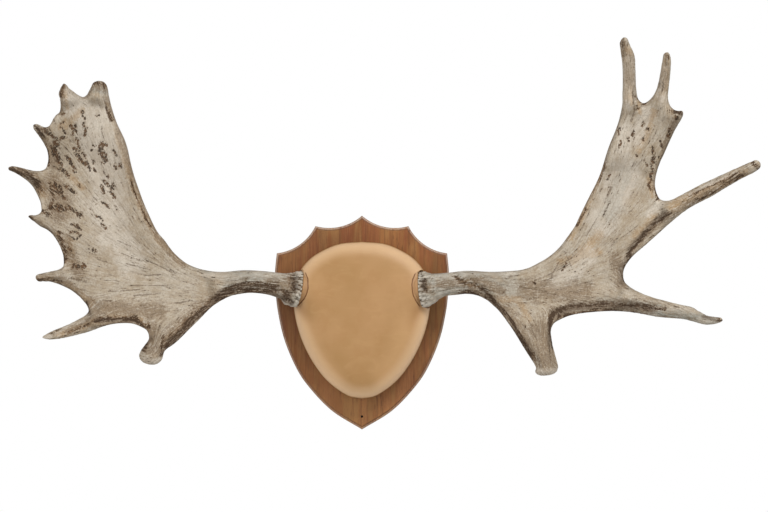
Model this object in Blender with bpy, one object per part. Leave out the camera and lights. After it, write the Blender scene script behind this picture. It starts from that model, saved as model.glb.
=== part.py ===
"""Moose antlers on a shield-shaped wooden plaque.

The board hangs flat on a wall: its back is the plane y = 0, the viewer is on the -Y side, X runs to the
right and Z up. The origin is the middle of the board's back. Each antler is drawn as its outline in the
front view, given a depth by a smooth surface through a few known depths, and swelled to its thickness.
"""

import math

import bpy
import bmesh
import numpy as np
from mathutils import Matrix, Vector
from mathutils.geometry import delaunay_2d_cdt

# Board
BOARD_THICKNESS = 0.022
BOARD_TOP = 0.178
BOARD_TIP = 0.178
SHOULDER = (0.0774, 0.1606)
CORNER = (0.1418, 0.1153)
SCALLOP_SAG = 0.010
SIDE_CURVE = [(0.1448, 0.083), (0.1436, 0.049), (0.1398, 0.0175), (0.1290, -0.029), (0.1075, -0.079),
              (0.0908, -0.104), (0.0510, -0.146)]
EDGE_ROUND = 0.0034
STEP_WIDTH = 0.0009
STEP_HEIGHT = 0.0025
SCREW_HOLE_DIAMETER = 0.0036
SCREW_HOLE_ABOVE_TIP = 0.0217
SCREW_HOLE_RISE_DEG = 14.0

# Leather-covered form
DOME_HEIGHT = 0.059
DOME_OUTLINE = [(0.0, 0.1345), (0.037, 0.131), (0.062, 0.1215), (0.087, 0.1055), (0.104, 0.084),
                (0.1125, 0.055), (0.1130, 0.023), (0.1055, -0.013), (0.094, -0.043), (0.079, -0.070),
                (0.061, -0.0935), (0.040, -0.1115), (0.0195, -0.123), (0.0, -0.126)]
DOME_SQUARENESS = 4.6
DOME_RINGS = 8
MOUND_HEIGHT = 0.007
MOUND_REACH = 0.028

# Pedicle rings and burrs: each burr's face is this far out from the middle, up, and out from the wall
LEFT_BURR_X = -0.1050
LEFT_BURR_Z = 0.0563
RIGHT_BURR_X = 0.0990
RIGHT_BURR_Z = 0.0550
BURR_DEPTH = 0.057
LEFT_PEDICLE_UP_DEG = 13.0
RIGHT_PEDICLE_UP_DEG = 9.0
PEDICLE_FORWARD_DEG = 12.0
COLLAR_RADIUS = 0.0275
COLLAR_LENGTH = 0.014
BURR_POCKET_RADIUS = 0.0325
CONTACT_GAP = 0.0003
ROUND_SIDES = 40

# Antlers: how far each reaches sideways from its burr's face to its furthest tine
LEFT_REACH = 0.476
RIGHT_REACH = 0.557
ROOT_EXTENSION = 0.045

# Antler section
TINE_ROUND_UNTIL = 0.022
PALM_FLAT_FROM = 0.056
PALM_HALF_THICKNESS = 0.0065
PALM_EDGE_WIDTH = 0.012
RIM_HALF_THICKNESS = 0.0010
RIB_HEIGHT = 0.0022
RIB_WIDTH = 0.016

# Mesh fineness
OUTLINE_TOLERANCE = 0.0006
OUTLINE_LONGEST = 0.016
INNER_RINGS = (0.0032, 0.0095)
SHEET_SPACING = 0.019
SITE_SPACING = 0.0045
WIDTH_BLUR = 0.010

# Each antler's outline in pixels of the front photograph, x to the right and y down, from one side of the
# burr out along the beam, round the palm and its tines, and back to the burr's other side.
LEFT_OUTLINE_PX = {
    "burr": [(294.8, 306.6), (291, 306), (286, 305), (281.5, 300)],
    "beam underside": [(274.5, 297), (265, 294.5), (254, 293.5), (243, 294), (230, 297), (214, 306),
                       (195.5, 324), (176, 343), (165.5, 351.5)],
    "brow stub": [(163, 359.5), (158, 364), (150, 364.5), (143, 361.5), (140, 356), (141.5, 351),
                  (149, 338.5), (147, 331), (140.5, 327)],
    "lower tine": [(131, 324), (110, 325), (87.5, 332.5), (62.5, 338.5), (49.5, 339.5), (43.5, 337.5),
                   (49.5, 333), (71, 323.5), (86, 315), (88.5, 311.5), (87.5, 307)],
    "fifth tine": [(83, 300.5), (77.5, 295), (70, 289.5), (60.5, 285), (51.5, 282), (45, 281.5),
                   (39.5, 281.5), (37, 278), (38, 275), (43, 273.5), (51.5, 271.5), (59.5, 269.5),
                   (63.5, 266.5), (64, 262), (63.5, 256)],
    "fourth tine": [(61.5, 249.5), (58, 242), (53, 234.5), (48, 230), (41.5, 226.5), (35.5, 222),
                    (31, 218.5), (29.5, 216.5), (31.5, 215.2), (36, 215.5), (40, 214), (42, 211),
                    (42, 207.5)],
    "third tine": [(40.5, 201), (37.5, 194), (33, 186), (27.5, 180.5), (20.5, 175.5), (14, 172),
                   (10.5, 170.3), (10, 168), (12.5, 166.5), (16.5, 166.5), (23, 168), (30.5, 170),
                   (36.5, 171), (42.5, 170.3), (46, 168), (47.5, 164)],
    "second tine": [(48.3, 158), (47.3, 150.5), (44, 143), (40, 136.5), (36.5, 131.5), (34.4, 128),
                    (34.8, 125), (38, 124), (41.5, 125.5), (45, 127), (49, 126.5), (52, 123), (54, 119)],
    "first tine": [(57, 115), (60, 112.5), (61.2, 108), (61.2, 103), (60.5, 98), (59.3, 94), (60.5, 90),
                   (62.3, 86), (64.5, 83.3), (67.2, 85), (69.5, 88), (74, 91.5), (79, 95), (83.5, 96.5),
                   (86.5, 94.5)],
    "top stub": [(89, 90), (91, 86), (93, 82), (98, 80), (103, 81), (106, 84), (107.5, 89)],
    "inner edge": [(108.5, 95), (111, 105), (117, 123), (126, 143), (132.5, 171), (139, 190.5),
                   (147, 211), (157, 231.5), (164, 240), (173.5, 252.5), (185, 262.5), (196.5, 268)],
    "beam top": [(209, 271), (222, 272), (245, 270.3), (268, 271.7), (288.5, 274), (296.5, 272.7),
                 (303, 271.8)],
}
RIGHT_OUTLINE_PX = {
    "beam top": [(418.5, 273), (424.5, 272.5), (431, 274), (448, 273), (467, 271), (492, 272),
                 (519, 270.6), (529.5, 268)],
    "inner edge": [(539.5, 263), (549, 257.5), (559, 249), (567.5, 238.5), (575.5, 227), (581, 215.5),
                   (588, 201), (600, 176.5), (610, 146), (619.5, 122), (622.3, 111), (623.5, 103)],
    "first tine": [(623.3, 94), (623.5, 84), (623, 65), (620.7, 49), (620, 43), (621.5, 39.5),
                   (624, 37.3), (627, 38), (630.5, 45.5), (635, 55.5), (636.3, 69.5), (637.3, 87.5),
                   (638.3, 94), (640, 99), (643.3, 102), (646.5, 102)],
    "second tine": [(650.5, 99.5), (653.5, 96.3), (656, 92), (658.5, 85.5), (661, 71.5), (663, 58.7),
                    (663.8, 54.2), (665.7, 52.4), (668.2, 52.4), (669.8, 54.2), (671.2, 60), (671, 71.5),
                    (669.5, 88.5), (669, 96), (669.8, 101.5)],
    "knob": [(672, 106.5), (675.3, 109.4), (679, 110.5), (683, 110.5), (684, 113), (683.5, 116),
             (676, 130), (666, 152), (661, 163), (657.5, 175), (656.5, 185)],
    "upper long tine": [(658.2, 193.3), (661.2, 198.8), (666, 200.6), (673.3, 199.4), (682, 195),
                        (702.5, 184), (725.5, 173.3), (749.5, 162.5), (755.7, 160.3), (759.3, 162.4),
                        (760.2, 166), (758, 169.7), (737.5, 181), (713.3, 195.7), (689, 209),
                        (672, 222.5), (648, 244.2), (636, 254.7), (630, 261.5), (626, 268)],
    "lower long tine": [(624.6, 275), (626, 282), (632, 287.7), (642, 293.3), (655, 298.2),
                        (681.5, 304.8), (692.6, 307.3), (701, 312.3), (708, 315.8), (716.4, 317.2),
                        (721.3, 318), (722.8, 320.7), (719, 323), (712, 324.6), (704, 324.6), (687, 320),
                        (660, 317.5), (632, 312.7), (604, 311.8), (572, 315.8), (561, 320)],
    "brow stub": [(554.4, 324.2), (551.6, 331.2), (552, 338.2), (553.7, 348), (557.5, 363),
                  (558.2, 367.7), (555.8, 372.5), (548, 375.4), (538.2, 375), (535.2, 372), (536, 368),
                  (534.7, 364.9)],
    "beam underside": [(527.7, 354.3), (513.3, 330.4), (500, 312), (492.3, 304.5), (485.5, 299.3),
                       (478, 296), (469, 294.5), (460, 295), (446, 296.7)],
    "burr": [(439.5, 299.7), (433, 304), (429, 306.5), (425.3, 307)],
}

# Known depths in front of the wall: where in the photograph, and how far out.
LEFT_DEPTHS = [((254, 282), 0.074), ((215, 287), 0.086), ((180, 290), 0.090), ((140, 262), 0.084),
               ((110, 215), 0.084), ((95, 160), 0.092), ((150, 225), 0.096), ((122, 150), 0.108),
               ((104, 105), 0.110), ((98, 83), 0.104), ((66, 88), 0.158), ((37, 127), 0.186),
               ((12, 169), 0.200), ((32, 217), 0.188), ((40, 278), 0.190), ((46, 337), 0.182),
               ((62, 150), 0.124), ((60, 200), 0.122), ((76, 258), 0.120), ((110, 318), 0.118),
               ((152, 358), 0.178), ((160, 328), 0.120)]
RIGHT_DEPTHS = [((465, 283), 0.074), ((505, 286), 0.086), ((556, 284), 0.090), ((590, 240), 0.084),
                ((620, 180), 0.088), ((640, 135), 0.098), ((570, 240), 0.096), ((608, 155), 0.106),
                ((630, 95), 0.118), ((625, 40), 0.172), ((664, 100), 0.126), ((667, 54), 0.176),
                ((682, 112), 0.150), ((650, 215), 0.108), ((700, 194), 0.142), ((758, 165), 0.204),
                ((632, 250), 0.106), ((640, 300), 0.112), ((690, 314), 0.148), ((721, 320), 0.178),
                ((545, 372), 0.190), ((528, 330), 0.122), ((580, 300), 0.094)]

# Ribs of the palm: the front-view route of each, from the beam to a tine.
LEFT_RIBS = [[(200, 284), (160, 262), (112, 230), (60, 190), (22, 171)],
             [(200, 284), (150, 250), (105, 195), (66, 145), (40, 127)],
             [(200, 284), (146, 238), (108, 172), (80, 118), (64, 90)],
             [(200, 284), (155, 232), (128, 165), (110, 118), (99, 86)],
             [(200, 284), (160, 272), (110, 255), (70, 235), (36, 218)],
             [(200, 284), (160, 284), (110, 282), (72, 278), (42, 277)],
             [(200, 284), (165, 300), (120, 314), (85, 324), (52, 336)]]
RIGHT_RIBS = [[(510, 286), (570, 256), (600, 205), (622, 140), (626, 50)],
              [(510, 286), (580, 262), (620, 200), (650, 140), (667, 62)],
              [(510, 286), (585, 272), (640, 232), (690, 202), (750, 167)],
              [(510, 286), (570, 296), (630, 302), (680, 312), (715, 320)]]

# Each antler: its side, its reach from burr to furthest tine, the middle of its burr's face, the upward
# tilt of its pedicle, and its outline, depths and ribs.
LEFT_ANTLER = {
    "side": -1, "reach": LEFT_REACH, "burr_px": (298.9, 289.2), "burr": (LEFT_BURR_X, LEFT_BURR_Z),
    "up_deg": LEFT_PEDICLE_UP_DEG,
    "outline": LEFT_OUTLINE_PX, "depths": LEFT_DEPTHS, "ribs": LEFT_RIBS}
RIGHT_ANTLER = {
    "side": 1, "reach": RIGHT_REACH, "burr_px": (421.9, 290.0), "burr": (RIGHT_BURR_X, RIGHT_BURR_Z),
    "up_deg": RIGHT_PEDICLE_UP_DEG,
    "outline": RIGHT_OUTLINE_PX, "depths": RIGHT_DEPTHS, "ribs": RIGHT_RIBS}


def material(name, color, roughness):
    made = bpy.data.materials.new(name)
    made.use_nodes = True
    shader = made.node_tree.nodes["Principled BSDF"]
    shader.inputs["Base Color"].default_value = (*color, 1.0)
    shader.inputs["Roughness"].default_value = roughness
    shader.inputs["Metallic"].default_value = 0.0
    return made


def add_object(name, mesh_data, finish):
    made = bpy.data.objects.new(name, mesh_data)
    bpy.context.scene.collection.objects.link(made)
    if finish:
        mesh_data.materials.append(finish)
    return made


def mesh_from(name, points, faces, smooth_below_deg):
    made = bpy.data.meshes.new(name)
    made.from_pydata([tuple(point) for point in points], [], [tuple(face) for face in faces])
    made.shade_smooth()
    made.set_sharp_from_angle(angle=math.radians(smooth_below_deg))
    return made


def spline(points, per_segment):
    """A centripetal Catmull-Rom curve through an open run of 2-D points."""
    points = np.asarray(points, float)
    first = 2 * points[0] - points[1]
    last = 2 * points[-1] - points[-2]
    knots = np.vstack([first, points, last])
    run = []
    for a, b, c, d in zip(knots[:-3], knots[1:-2], knots[2:-1], knots[3:]):
        ta, tb, tc, td = np.cumsum([0.0] + [math.sqrt(np.linalg.norm(q - p)) for p, q in
                                            ((a, b), (b, c), (c, d))])
        t = np.linspace(tb, tc, per_segment, endpoint=False)[:, None]
        ab = (tb - t) / (tb - ta) * a + (t - ta) / (tb - ta) * b
        bc = (tc - t) / (tc - tb) * b + (t - tb) / (tc - tb) * c
        cd = (td - t) / (td - tc) * c + (t - tc) / (td - tc) * d
        abc = (tc - t) / (tc - ta) * ab + (t - ta) / (tc - ta) * bc
        bcd = (td - t) / (td - tb) * bc + (t - tb) / (td - tb) * cd
        run.append((tc - t) / (tc - tb) * abc + (t - tb) / (tc - tb) * bcd)
    return np.vstack(run + [points[-1:]])


def thinned(points, tolerance, longest):
    """Keeps the points of a run that it needs to stay within tolerance, and no step over longest."""
    start, end = points[0], points[-1]
    if len(points) < 3:
        return [start]
    chord = end - start
    length = math.hypot(*chord)
    away = points[1:-1] - start
    off = np.abs(chord[0] * away[:, 1] - chord[1] * away[:, 0]) / max(length, 1e-9)
    if length < 1e-9:
        off = np.hypot(away[:, 0], away[:, 1])
    split = int(np.argmax(off)) + 1
    if off[split - 1] < tolerance:
        if length < longest:
            return [start]
        split = len(points) // 2
    return thinned(points[:split + 1], tolerance, longest) + thinned(points[split:], tolerance, longest)


def distance_to_run(points, run):
    """Each point's distance to an open run of straight segments."""
    start, step = run[:-1], np.diff(run, axis=0)
    length2 = (step ** 2).sum(1)
    found = []
    for block in np.array_split(points, max(1, len(points) // 400)):
        rel = block[:, None, :] - start
        share = np.clip((rel * step).sum(2) / length2, 0.0, 1.0)
        gap = rel - share[..., None] * step
        found.append(np.sqrt((gap ** 2).sum(2).min(1)))
    return np.concatenate(found)


def inside(points, loop):
    """Which points lie inside a closed outline, by counting the edges to their right."""
    x, z = points[:, 0, None], points[:, 1, None]
    ax, az = loop[:, 0], loop[:, 1]
    bx, bz = np.roll(ax, -1), np.roll(az, -1)
    crosses = (az > z) != (bz > z)
    at = ax + (z - az) / np.where(bz == az, 1e-12, bz - az) * (bx - ax)
    return (crosses & (x < at)).sum(1) % 2 == 1


def hex_points(loop, spacing):
    low, high = loop.min(0), loop.max(0)
    rows = np.arange(low[1], high[1], spacing * math.sqrt(0.75))
    columns = np.arange(low[0], high[0], spacing)
    x, z = np.meshgrid(columns, rows)
    x = x + spacing / 2 * (np.arange(len(rows)) % 2)[:, None]
    return np.stack([x.ravel(), z.ravel()], 1)


def smooth_step(value):
    value = np.clip(value, 0.0, 1.0)
    return value * value * (3 - 2 * value)


def thin_plate(places, values):
    """The smoothest surface through a few heights, as a function of 2-D points."""
    def bend(distance2):
        return distance2 * np.log(distance2 + 1e-12)

    places, values = np.asarray(places), np.asarray(values)
    count = len(places)
    plane = np.hstack([np.ones((count, 1)), places])
    gaps = ((places[:, None] - places) ** 2).sum(2)
    system = np.zeros((count + 3, count + 3))
    system[:count, :count] = bend(gaps)
    system[:count, count:] = plane
    system[count:, :count] = plane.T
    weights = np.linalg.solve(system, np.concatenate([values, np.zeros(3)]))

    def surface(points):
        distance2 = ((points[:, None] - places) ** 2).sum(2)
        return (bend(distance2) @ weights[:count] + weights[count]
                + points @ weights[count + 1:])
    return surface


def pedicle_axis(antler):
    """The direction in which the antler leaves the skull: out, forward and a little up."""
    forward, up = math.radians(PEDICLE_FORWARD_DEG), math.radians(antler["up_deg"])
    return Vector((antler["side"] * math.cos(forward) * math.cos(up), -math.sin(forward),
                   math.cos(forward) * math.sin(up)))


def burr_centre(antler):
    return Vector((antler["burr"][0], -BURR_DEPTH, antler["burr"][1]))


def front_view(antler):
    """A function from pixels of the photograph to places in the front view, in metres."""
    burr_px = np.array(antler["burr_px"])
    outer = max(abs(x - burr_px[0]) for points in antler["outline"].values() for x, y in points)
    pixel = antler["reach"] / outer
    return lambda points: (np.array(antler["burr"]) + (np.asarray(points, float) - burr_px)
                           * (pixel, -pixel))


def antler_edge(antler):
    """The antler's edge as an open run, carried straight on past the burr's face at both ends."""
    to_place = front_view(antler)
    drawn = to_place([point for points in antler["outline"].values() for point in points])
    axis = pedicle_axis(antler)
    inboard = -np.array([axis.x, axis.z]) / math.hypot(axis.x, axis.z) * ROOT_EXTENSION
    smooth = spline(drawn, 8)
    return np.vstack([drawn[:1] + inboard, smooth, drawn[-1:] + inboard])


def local_half_width(points, sites, site_room, run):
    """The radius of the widest disc in the outline that covers each point, blurred over a short way."""
    def covering(targets):
        found = []
        for block in np.array_split(targets, max(1, len(targets) // 300)):
            away = np.sqrt(((block[:, None] - sites) ** 2).sum(2))
            found.append(np.where(away <= site_room, site_room, 0.0).max(1))
        return np.concatenate(found)

    site_width = np.maximum(covering(sites), site_room)
    blurred = []
    for block in np.array_split(points, max(1, len(points) // 300)):
        weight = np.exp(-((block[:, None] - sites) ** 2).sum(2) / (2 * WIDTH_BLUR ** 2))
        blurred.append((weight @ site_width) / (weight.sum(1) + 1e-12))
    return np.maximum(np.concatenate(blurred), distance_to_run(points, run))


def half_thickness(room, width, rib):
    """Round where the antler is narrow, and a flat blade with a rounded edge where it is wide."""
    blade = smooth_step((width - TINE_ROUND_UNTIL) / (PALM_FLAT_FROM - TINE_ROUND_UNTIL))
    crown = (1 - blade) * width + blade * (PALM_HALF_THICKNESS + RIB_HEIGHT * rib)
    edge = (1 - blade) * width + blade * PALM_EDGE_WIDTH
    rise = np.sqrt(1 - (1 - np.clip(room / edge, 0.0, 1.0)) ** 2)
    return RIM_HALF_THICKNESS + (crown - RIM_HALF_THICKNESS) * rise


def rib_share(antler, points):
    """1 on the crest of a rib, falling to 0 beside it."""
    to_place = front_view(antler)
    near = np.min([distance_to_run(points, spline(to_place(rib), 6)) for rib in antler["ribs"]], axis=0)
    return np.exp(-(near / RIB_WIDTH) ** 2)


def antler_sheet(antler):
    """Points and triangles of the outline's inside, with the outline first."""
    run = np.array(thinned(antler_edge(antler), OUTLINE_TOLERANCE, OUTLINE_LONGEST)
                   + [antler_edge(antler)[-1]])
    count = len(run)
    step = np.roll(run, -1, 0) - np.roll(run, 1, 0)
    normal = np.stack([-step[:, 1], step[:, 0]], 1) / np.hypot(step[:, 0], step[:, 1])[:, None]
    normal = normal if inside(run[count // 2:count // 2 + 1] + normal[count // 2] * 1e-4, run)[0] else -normal
    inner = []
    for ring in INNER_RINGS:
        moved = run + normal * ring
        fits = inside(moved, run) & (distance_to_run(moved, run) > 0.85 * ring)
        for point in moved[fits]:
            if all(math.dist(point, other) > 0.75 * ring for other in inner[-2:]):
                inner.append(point)
    field = hex_points(run, SHEET_SPACING)
    field = field[inside(field, run)]
    field = field[distance_to_run(field, run) > INNER_RINGS[-1] + 0.4 * SHEET_SPACING]
    points = np.vstack([run, inner, field])
    edges = [(i, (i + 1) % count) for i in range(count)]
    corners, _, faces, _, _, _ = delaunay_2d_cdt([Vector(p) for p in points], edges, [], 1, 1e-7)
    return run, np.array([tuple(p) for p in corners]), [tuple(face) for face in faces]


def antler_points(antler, run, flat):
    """Front and back surface places of the sheet's points."""
    to_place = front_view(antler)
    axis = pedicle_axis(antler)
    burr = np.array(antler["burr"])
    along = np.array([axis.x, axis.z])
    forward = -axis.y / math.hypot(axis.x, axis.z)
    steps = (-ROOT_EXTENSION, 0.0, 0.03)
    places = [burr + along / math.hypot(*along) * step for step in steps]
    values = [BURR_DEPTH + forward * step for step in steps]
    for place, depth in antler["depths"]:
        places.append(to_place(place))
        values.append(depth)
    surface = thin_plate(places, values)
    nudge = 1e-4
    slope_x = (surface(flat + (nudge, 0)) - surface(flat - (nudge, 0))) / (2 * nudge)
    slope_z = (surface(flat + (0, nudge)) - surface(flat - (0, nudge))) / (2 * nudge)
    steep = np.sqrt(1 + np.minimum(slope_x ** 2 + slope_z ** 2, 1.5))
    sites = hex_points(run, SITE_SPACING)
    sites = sites[inside(sites, run)]
    room = distance_to_run(flat, run)
    width = local_half_width(flat, sites, distance_to_run(sites, run), run)
    swell = half_thickness(room, width, rib_share(antler, flat)) * steep
    depth = surface(flat)
    front = np.stack([flat[:, 0], -(depth + swell), flat[:, 1]], 1)
    back = np.stack([flat[:, 0], -(depth - swell), flat[:, 1]], 1)
    return front, back


def antler(name, shape, finish):
    run, flat, faces = antler_sheet(shape)
    front, back = antler_points(shape, run, flat)
    count = len(flat)
    edge_uses = {}
    for face in faces:
        for a, b in zip(face, face[1:] + face[:1]):
            edge_uses[(a, b)] = edge_uses.get((a, b), 0) + 1
    rim = [edge for edge in edge_uses if (edge[1], edge[0]) not in edge_uses]
    walls = [(b, a, a + count, b + count) for a, b in rim]
    behind = [tuple(i + count for i in reversed(face)) for face in faces]
    data = mesh_from(name, np.vstack([front, back]), faces + behind + walls, 60)
    shape_mesh = bmesh.new()
    shape_mesh.from_mesh(data)
    axis = pedicle_axis(shape)
    cut = bmesh.ops.bisect_plane(
        shape_mesh, geom=shape_mesh.verts[:] + shape_mesh.edges[:] + shape_mesh.faces[:], dist=1e-6,
        plane_co=burr_centre(shape) + axis * CONTACT_GAP, plane_no=axis, clear_inner=True)
    loop = [item for item in cut["geom_cut"] if isinstance(item, bmesh.types.BMEdge)]
    bmesh.ops.edgeloop_fill(shape_mesh, edges=loop)
    bmesh.ops.recalc_face_normals(shape_mesh, faces=shape_mesh.faces[:])
    shape_mesh.to_mesh(data)
    shape_mesh.free()
    return add_object(name, data, finish)


def arc(start, end, sag, count):
    """Points on a circular arc from start to end that dips by sag to the right of the way."""
    start, end = np.asarray(start), np.asarray(end)
    chord = end - start
    half = np.hypot(*chord) / 2
    radius = (half ** 2 + sag ** 2) / (2 * sag)
    sideways = np.array([chord[1], -chord[0]]) / (2 * half)
    centre = (start + end) / 2 - sideways * (radius - sag)
    first = math.atan2(*(start - centre)[::-1])
    turn = 2 * math.asin(half / radius)
    angles = first + np.linspace(0, turn, count, endpoint=False)
    return centre + radius * np.stack([np.cos(angles), np.sin(angles)], 1)


def mirrored(half):
    """A closed outline from its right half, which runs from top to bottom on the middle line."""
    half = np.asarray(half)
    return np.vstack([half, half[-2:0:-1] * (-1, 1)])


def board_outline():
    peak, tip = (0.0, BOARD_TOP), (0.0, -BOARD_TIP)
    side = spline([CORNER] + SIDE_CURVE + [tip], 3)
    return mirrored(np.vstack([arc(peak, SHOULDER, SCALLOP_SAG, 7),
                               arc(SHOULDER, CORNER, SCALLOP_SAG, 7), side]))


def inset(outline, amount):
    """The outline moved inwards, with mitred corners. It runs clockwise."""
    before = outline - np.roll(outline, 1, 0)
    after = np.roll(outline, -1, 0) - outline
    before = before / np.hypot(before[:, 0], before[:, 1])[:, None]
    after = after / np.hypot(after[:, 0], after[:, 1])[:, None]
    inward_before = np.stack([before[:, 1], -before[:, 0]], 1)
    inward_after = np.stack([after[:, 1], -after[:, 0]], 1)
    mitre = inward_before + inward_after
    return outline + mitre * (2 * amount / (mitre ** 2).sum(1))[:, None]


def lofted(name, rings, finish, sharp_deg):
    """A closed solid from rings of (outline, depth or depths), back to front, with flat ends."""
    size = len(rings[0][0])
    points = [(x, -depth, z) for outline, depths in rings
              for (x, z), depth in zip(outline, np.broadcast_to(depths, size))]
    faces = []
    for level in range(len(rings) - 1):
        for i in range(size):
            j = (i + 1) % size
            faces.append((level * size + i, level * size + j, (level + 1) * size + j,
                          (level + 1) * size + i))
    faces.append(tuple(range(size)))
    faces.append(tuple(range(len(points) - 1, len(points) - size - 1, -1)))
    data = mesh_from(name, points, faces, sharp_deg)
    solid = bmesh.new()
    solid.from_mesh(data)
    bmesh.ops.recalc_face_normals(solid, faces=solid.faces[:])
    solid.to_mesh(data)
    solid.free()
    return add_object(name, data, finish)


def cylinder(name, radius, start, end, sides):
    """A cylinder from one point to another, as a mesh."""
    made = bpy.data.meshes.new(name)
    drum = bmesh.new()
    along = end - start
    turn = along.to_track_quat("Z", "Y").to_matrix().to_4x4()
    place = Matrix.Translation((start + end) / 2) @ turn
    bmesh.ops.create_cone(drum, cap_ends=True, segments=sides, radius1=radius, radius2=radius,
                          depth=along.length, matrix=place)
    drum.to_mesh(made)
    drum.free()
    made.shade_smooth()
    made.set_sharp_from_angle(angle=math.radians(40))
    return made


def cut_from(target, name, tool_mesh):
    """Subtracts a mesh from an object, with the cutter kept as a hidden guide."""
    cutter = add_object(name, tool_mesh, None)
    cutter.hide_render = True
    cutter.display_type = "WIRE"
    cut = target.modifiers.new(name, "BOOLEAN")
    cut.operation = "DIFFERENCE"
    cut.solver = "EXACT"
    cut.object = cutter


def shield_board(finish):
    outline = board_outline()
    side = BOARD_THICKNESS - STEP_HEIGHT - EDGE_ROUND
    rings = [(outline, 0.0)]
    for turn in np.linspace(0, math.pi / 2, 4):
        rings.append((inset(outline, EDGE_ROUND * (1 - math.cos(turn))),
                      side + EDGE_ROUND * math.sin(turn)))
    rings.append((inset(outline, EDGE_ROUND + STEP_WIDTH), BOARD_THICKNESS - STEP_HEIGHT))
    rings.append((inset(outline, EDGE_ROUND + 2 * STEP_WIDTH), BOARD_THICKNESS))
    board = lofted("shield_board", rings, finish, 35)
    mouth = Vector((0.0, -BOARD_THICKNESS, -BOARD_TIP + SCREW_HOLE_ABOVE_TIP))
    rise = math.radians(SCREW_HOLE_RISE_DEG)
    through = Vector((0.0, math.cos(rise), math.sin(rise))) * BOARD_THICKNESS
    cut_from(board, "screw_hole_cutter",
             cylinder("screw_hole_cutter", SCREW_HOLE_DIAMETER / 2, mouth - through, mouth + 2 * through, 12))
    return board


def drawn_up(places):
    """How much further out the leather stands where it is drawn up round each pedicle."""
    total = np.zeros(len(places))
    for shape in (LEFT_ANTLER, RIGHT_ANTLER):
        seat = burr_centre(shape) - pedicle_axis(shape) * COLLAR_LENGTH
        away = np.hypot(places[:, 0] - seat.x, places[:, 1] - seat.z)
        total += MOUND_HEIGHT * np.exp(-(away / MOUND_REACH) ** 2)
    return total


def leather_dome(finish):
    outline = mirrored(spline(DOME_OUTLINE, 2))
    foot = BOARD_THICKNESS + CONTACT_GAP
    middle = np.array([0.0, (outline[:, 1].max() + outline[:, 1].min()) / 2])
    rings = []
    for turn in np.linspace(0, 0.47 * math.pi, DOME_RINGS):
        share = math.cos(turn) ** (2 / DOME_SQUARENESS)
        rise = math.sin(turn) ** (2 / DOME_SQUARENESS)
        ring = middle + (outline - middle) * share
        rings.append((ring, foot + (DOME_HEIGHT + drawn_up(ring)) * rise))
    dome = lofted("leather_dome", rings, finish, 50)
    for label, shape in (("left", LEFT_ANTLER), ("right", RIGHT_ANTLER)):
        axis, face = pedicle_axis(shape), burr_centre(shape)
        seat = face - axis * COLLAR_LENGTH
        beyond = face + axis * BURR_POCKET_RADIUS * 2
        cut_from(dome, f"{label}_seat_cutter",
                 cylinder("seat", COLLAR_RADIUS + CONTACT_GAP, seat, beyond, ROUND_SIDES))
        cut_from(dome, f"{label}_pocket_cutter",
                 cylinder("pocket", BURR_POCKET_RADIUS, face - axis * CONTACT_GAP, beyond, ROUND_SIDES))
    return dome


def collar(name, shape, finish):
    axis, face = pedicle_axis(shape), burr_centre(shape)
    start = face - axis * (COLLAR_LENGTH - CONTACT_GAP)
    return add_object(name, cylinder(name, COLLAR_RADIUS, start, face, ROUND_SIDES), finish)


def build():
    for old in list(bpy.data.objects):
        bpy.data.objects.remove(old, do_unlink=True)
    wood = material("varnished_wood", (0.26, 0.11, 0.045), 0.45)
    leather = material("tan_leather", (0.50, 0.29, 0.13), 0.60)
    horn = material("weathered_antler", (0.47, 0.41, 0.32), 0.75)
    shield_board(wood)
    leather_dome(leather)
    collar("left_collar", LEFT_ANTLER, leather)
    collar("right_collar", RIGHT_ANTLER, leather)
    antler("left_antler", LEFT_ANTLER, horn)
    antler("right_antler", RIGHT_ANTLER, horn)


build()
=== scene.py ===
"""The looks of a moose antler mount: weathered antlers, a tan leather form and a varnished shield board.

X runs to the right, Z up, and the viewer stands on the -Y side of the wall plane y = 0.
"""

import math

import bmesh
import bpy
import numpy as np
from mathutils import Matrix, Vector
from mathutils.geometry import delaunay_2d_cdt


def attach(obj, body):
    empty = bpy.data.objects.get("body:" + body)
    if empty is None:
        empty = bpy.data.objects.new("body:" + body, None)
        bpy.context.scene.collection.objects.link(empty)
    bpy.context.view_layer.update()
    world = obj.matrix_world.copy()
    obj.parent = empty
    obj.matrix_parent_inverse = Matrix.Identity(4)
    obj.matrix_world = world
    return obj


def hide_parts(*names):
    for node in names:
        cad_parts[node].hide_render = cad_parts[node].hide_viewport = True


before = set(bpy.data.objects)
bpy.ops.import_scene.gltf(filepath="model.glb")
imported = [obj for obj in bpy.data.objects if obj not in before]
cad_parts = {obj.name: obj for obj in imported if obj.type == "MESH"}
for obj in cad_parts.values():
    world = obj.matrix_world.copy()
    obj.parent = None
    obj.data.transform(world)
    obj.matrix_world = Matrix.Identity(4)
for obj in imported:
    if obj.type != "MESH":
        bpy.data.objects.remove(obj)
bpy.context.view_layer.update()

# Upwards, a number that only keeps sums clear of zero, and the factors of the noise's random heights
UP = (0.0, 0.0, 1.0)
TINY = 1e-12
HASH_FACTORS = (374761393, 668265263, 1440670441)

# Camera: straight from the front with a long lens, framed as in the photograph
VIEW_DISTANCE = 15.0
VIEW_CENTRE = (0.0367, 0.1108)
VIEW_WIDTH = 1.28
SENSOR_WIDTH = 36.0

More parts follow.
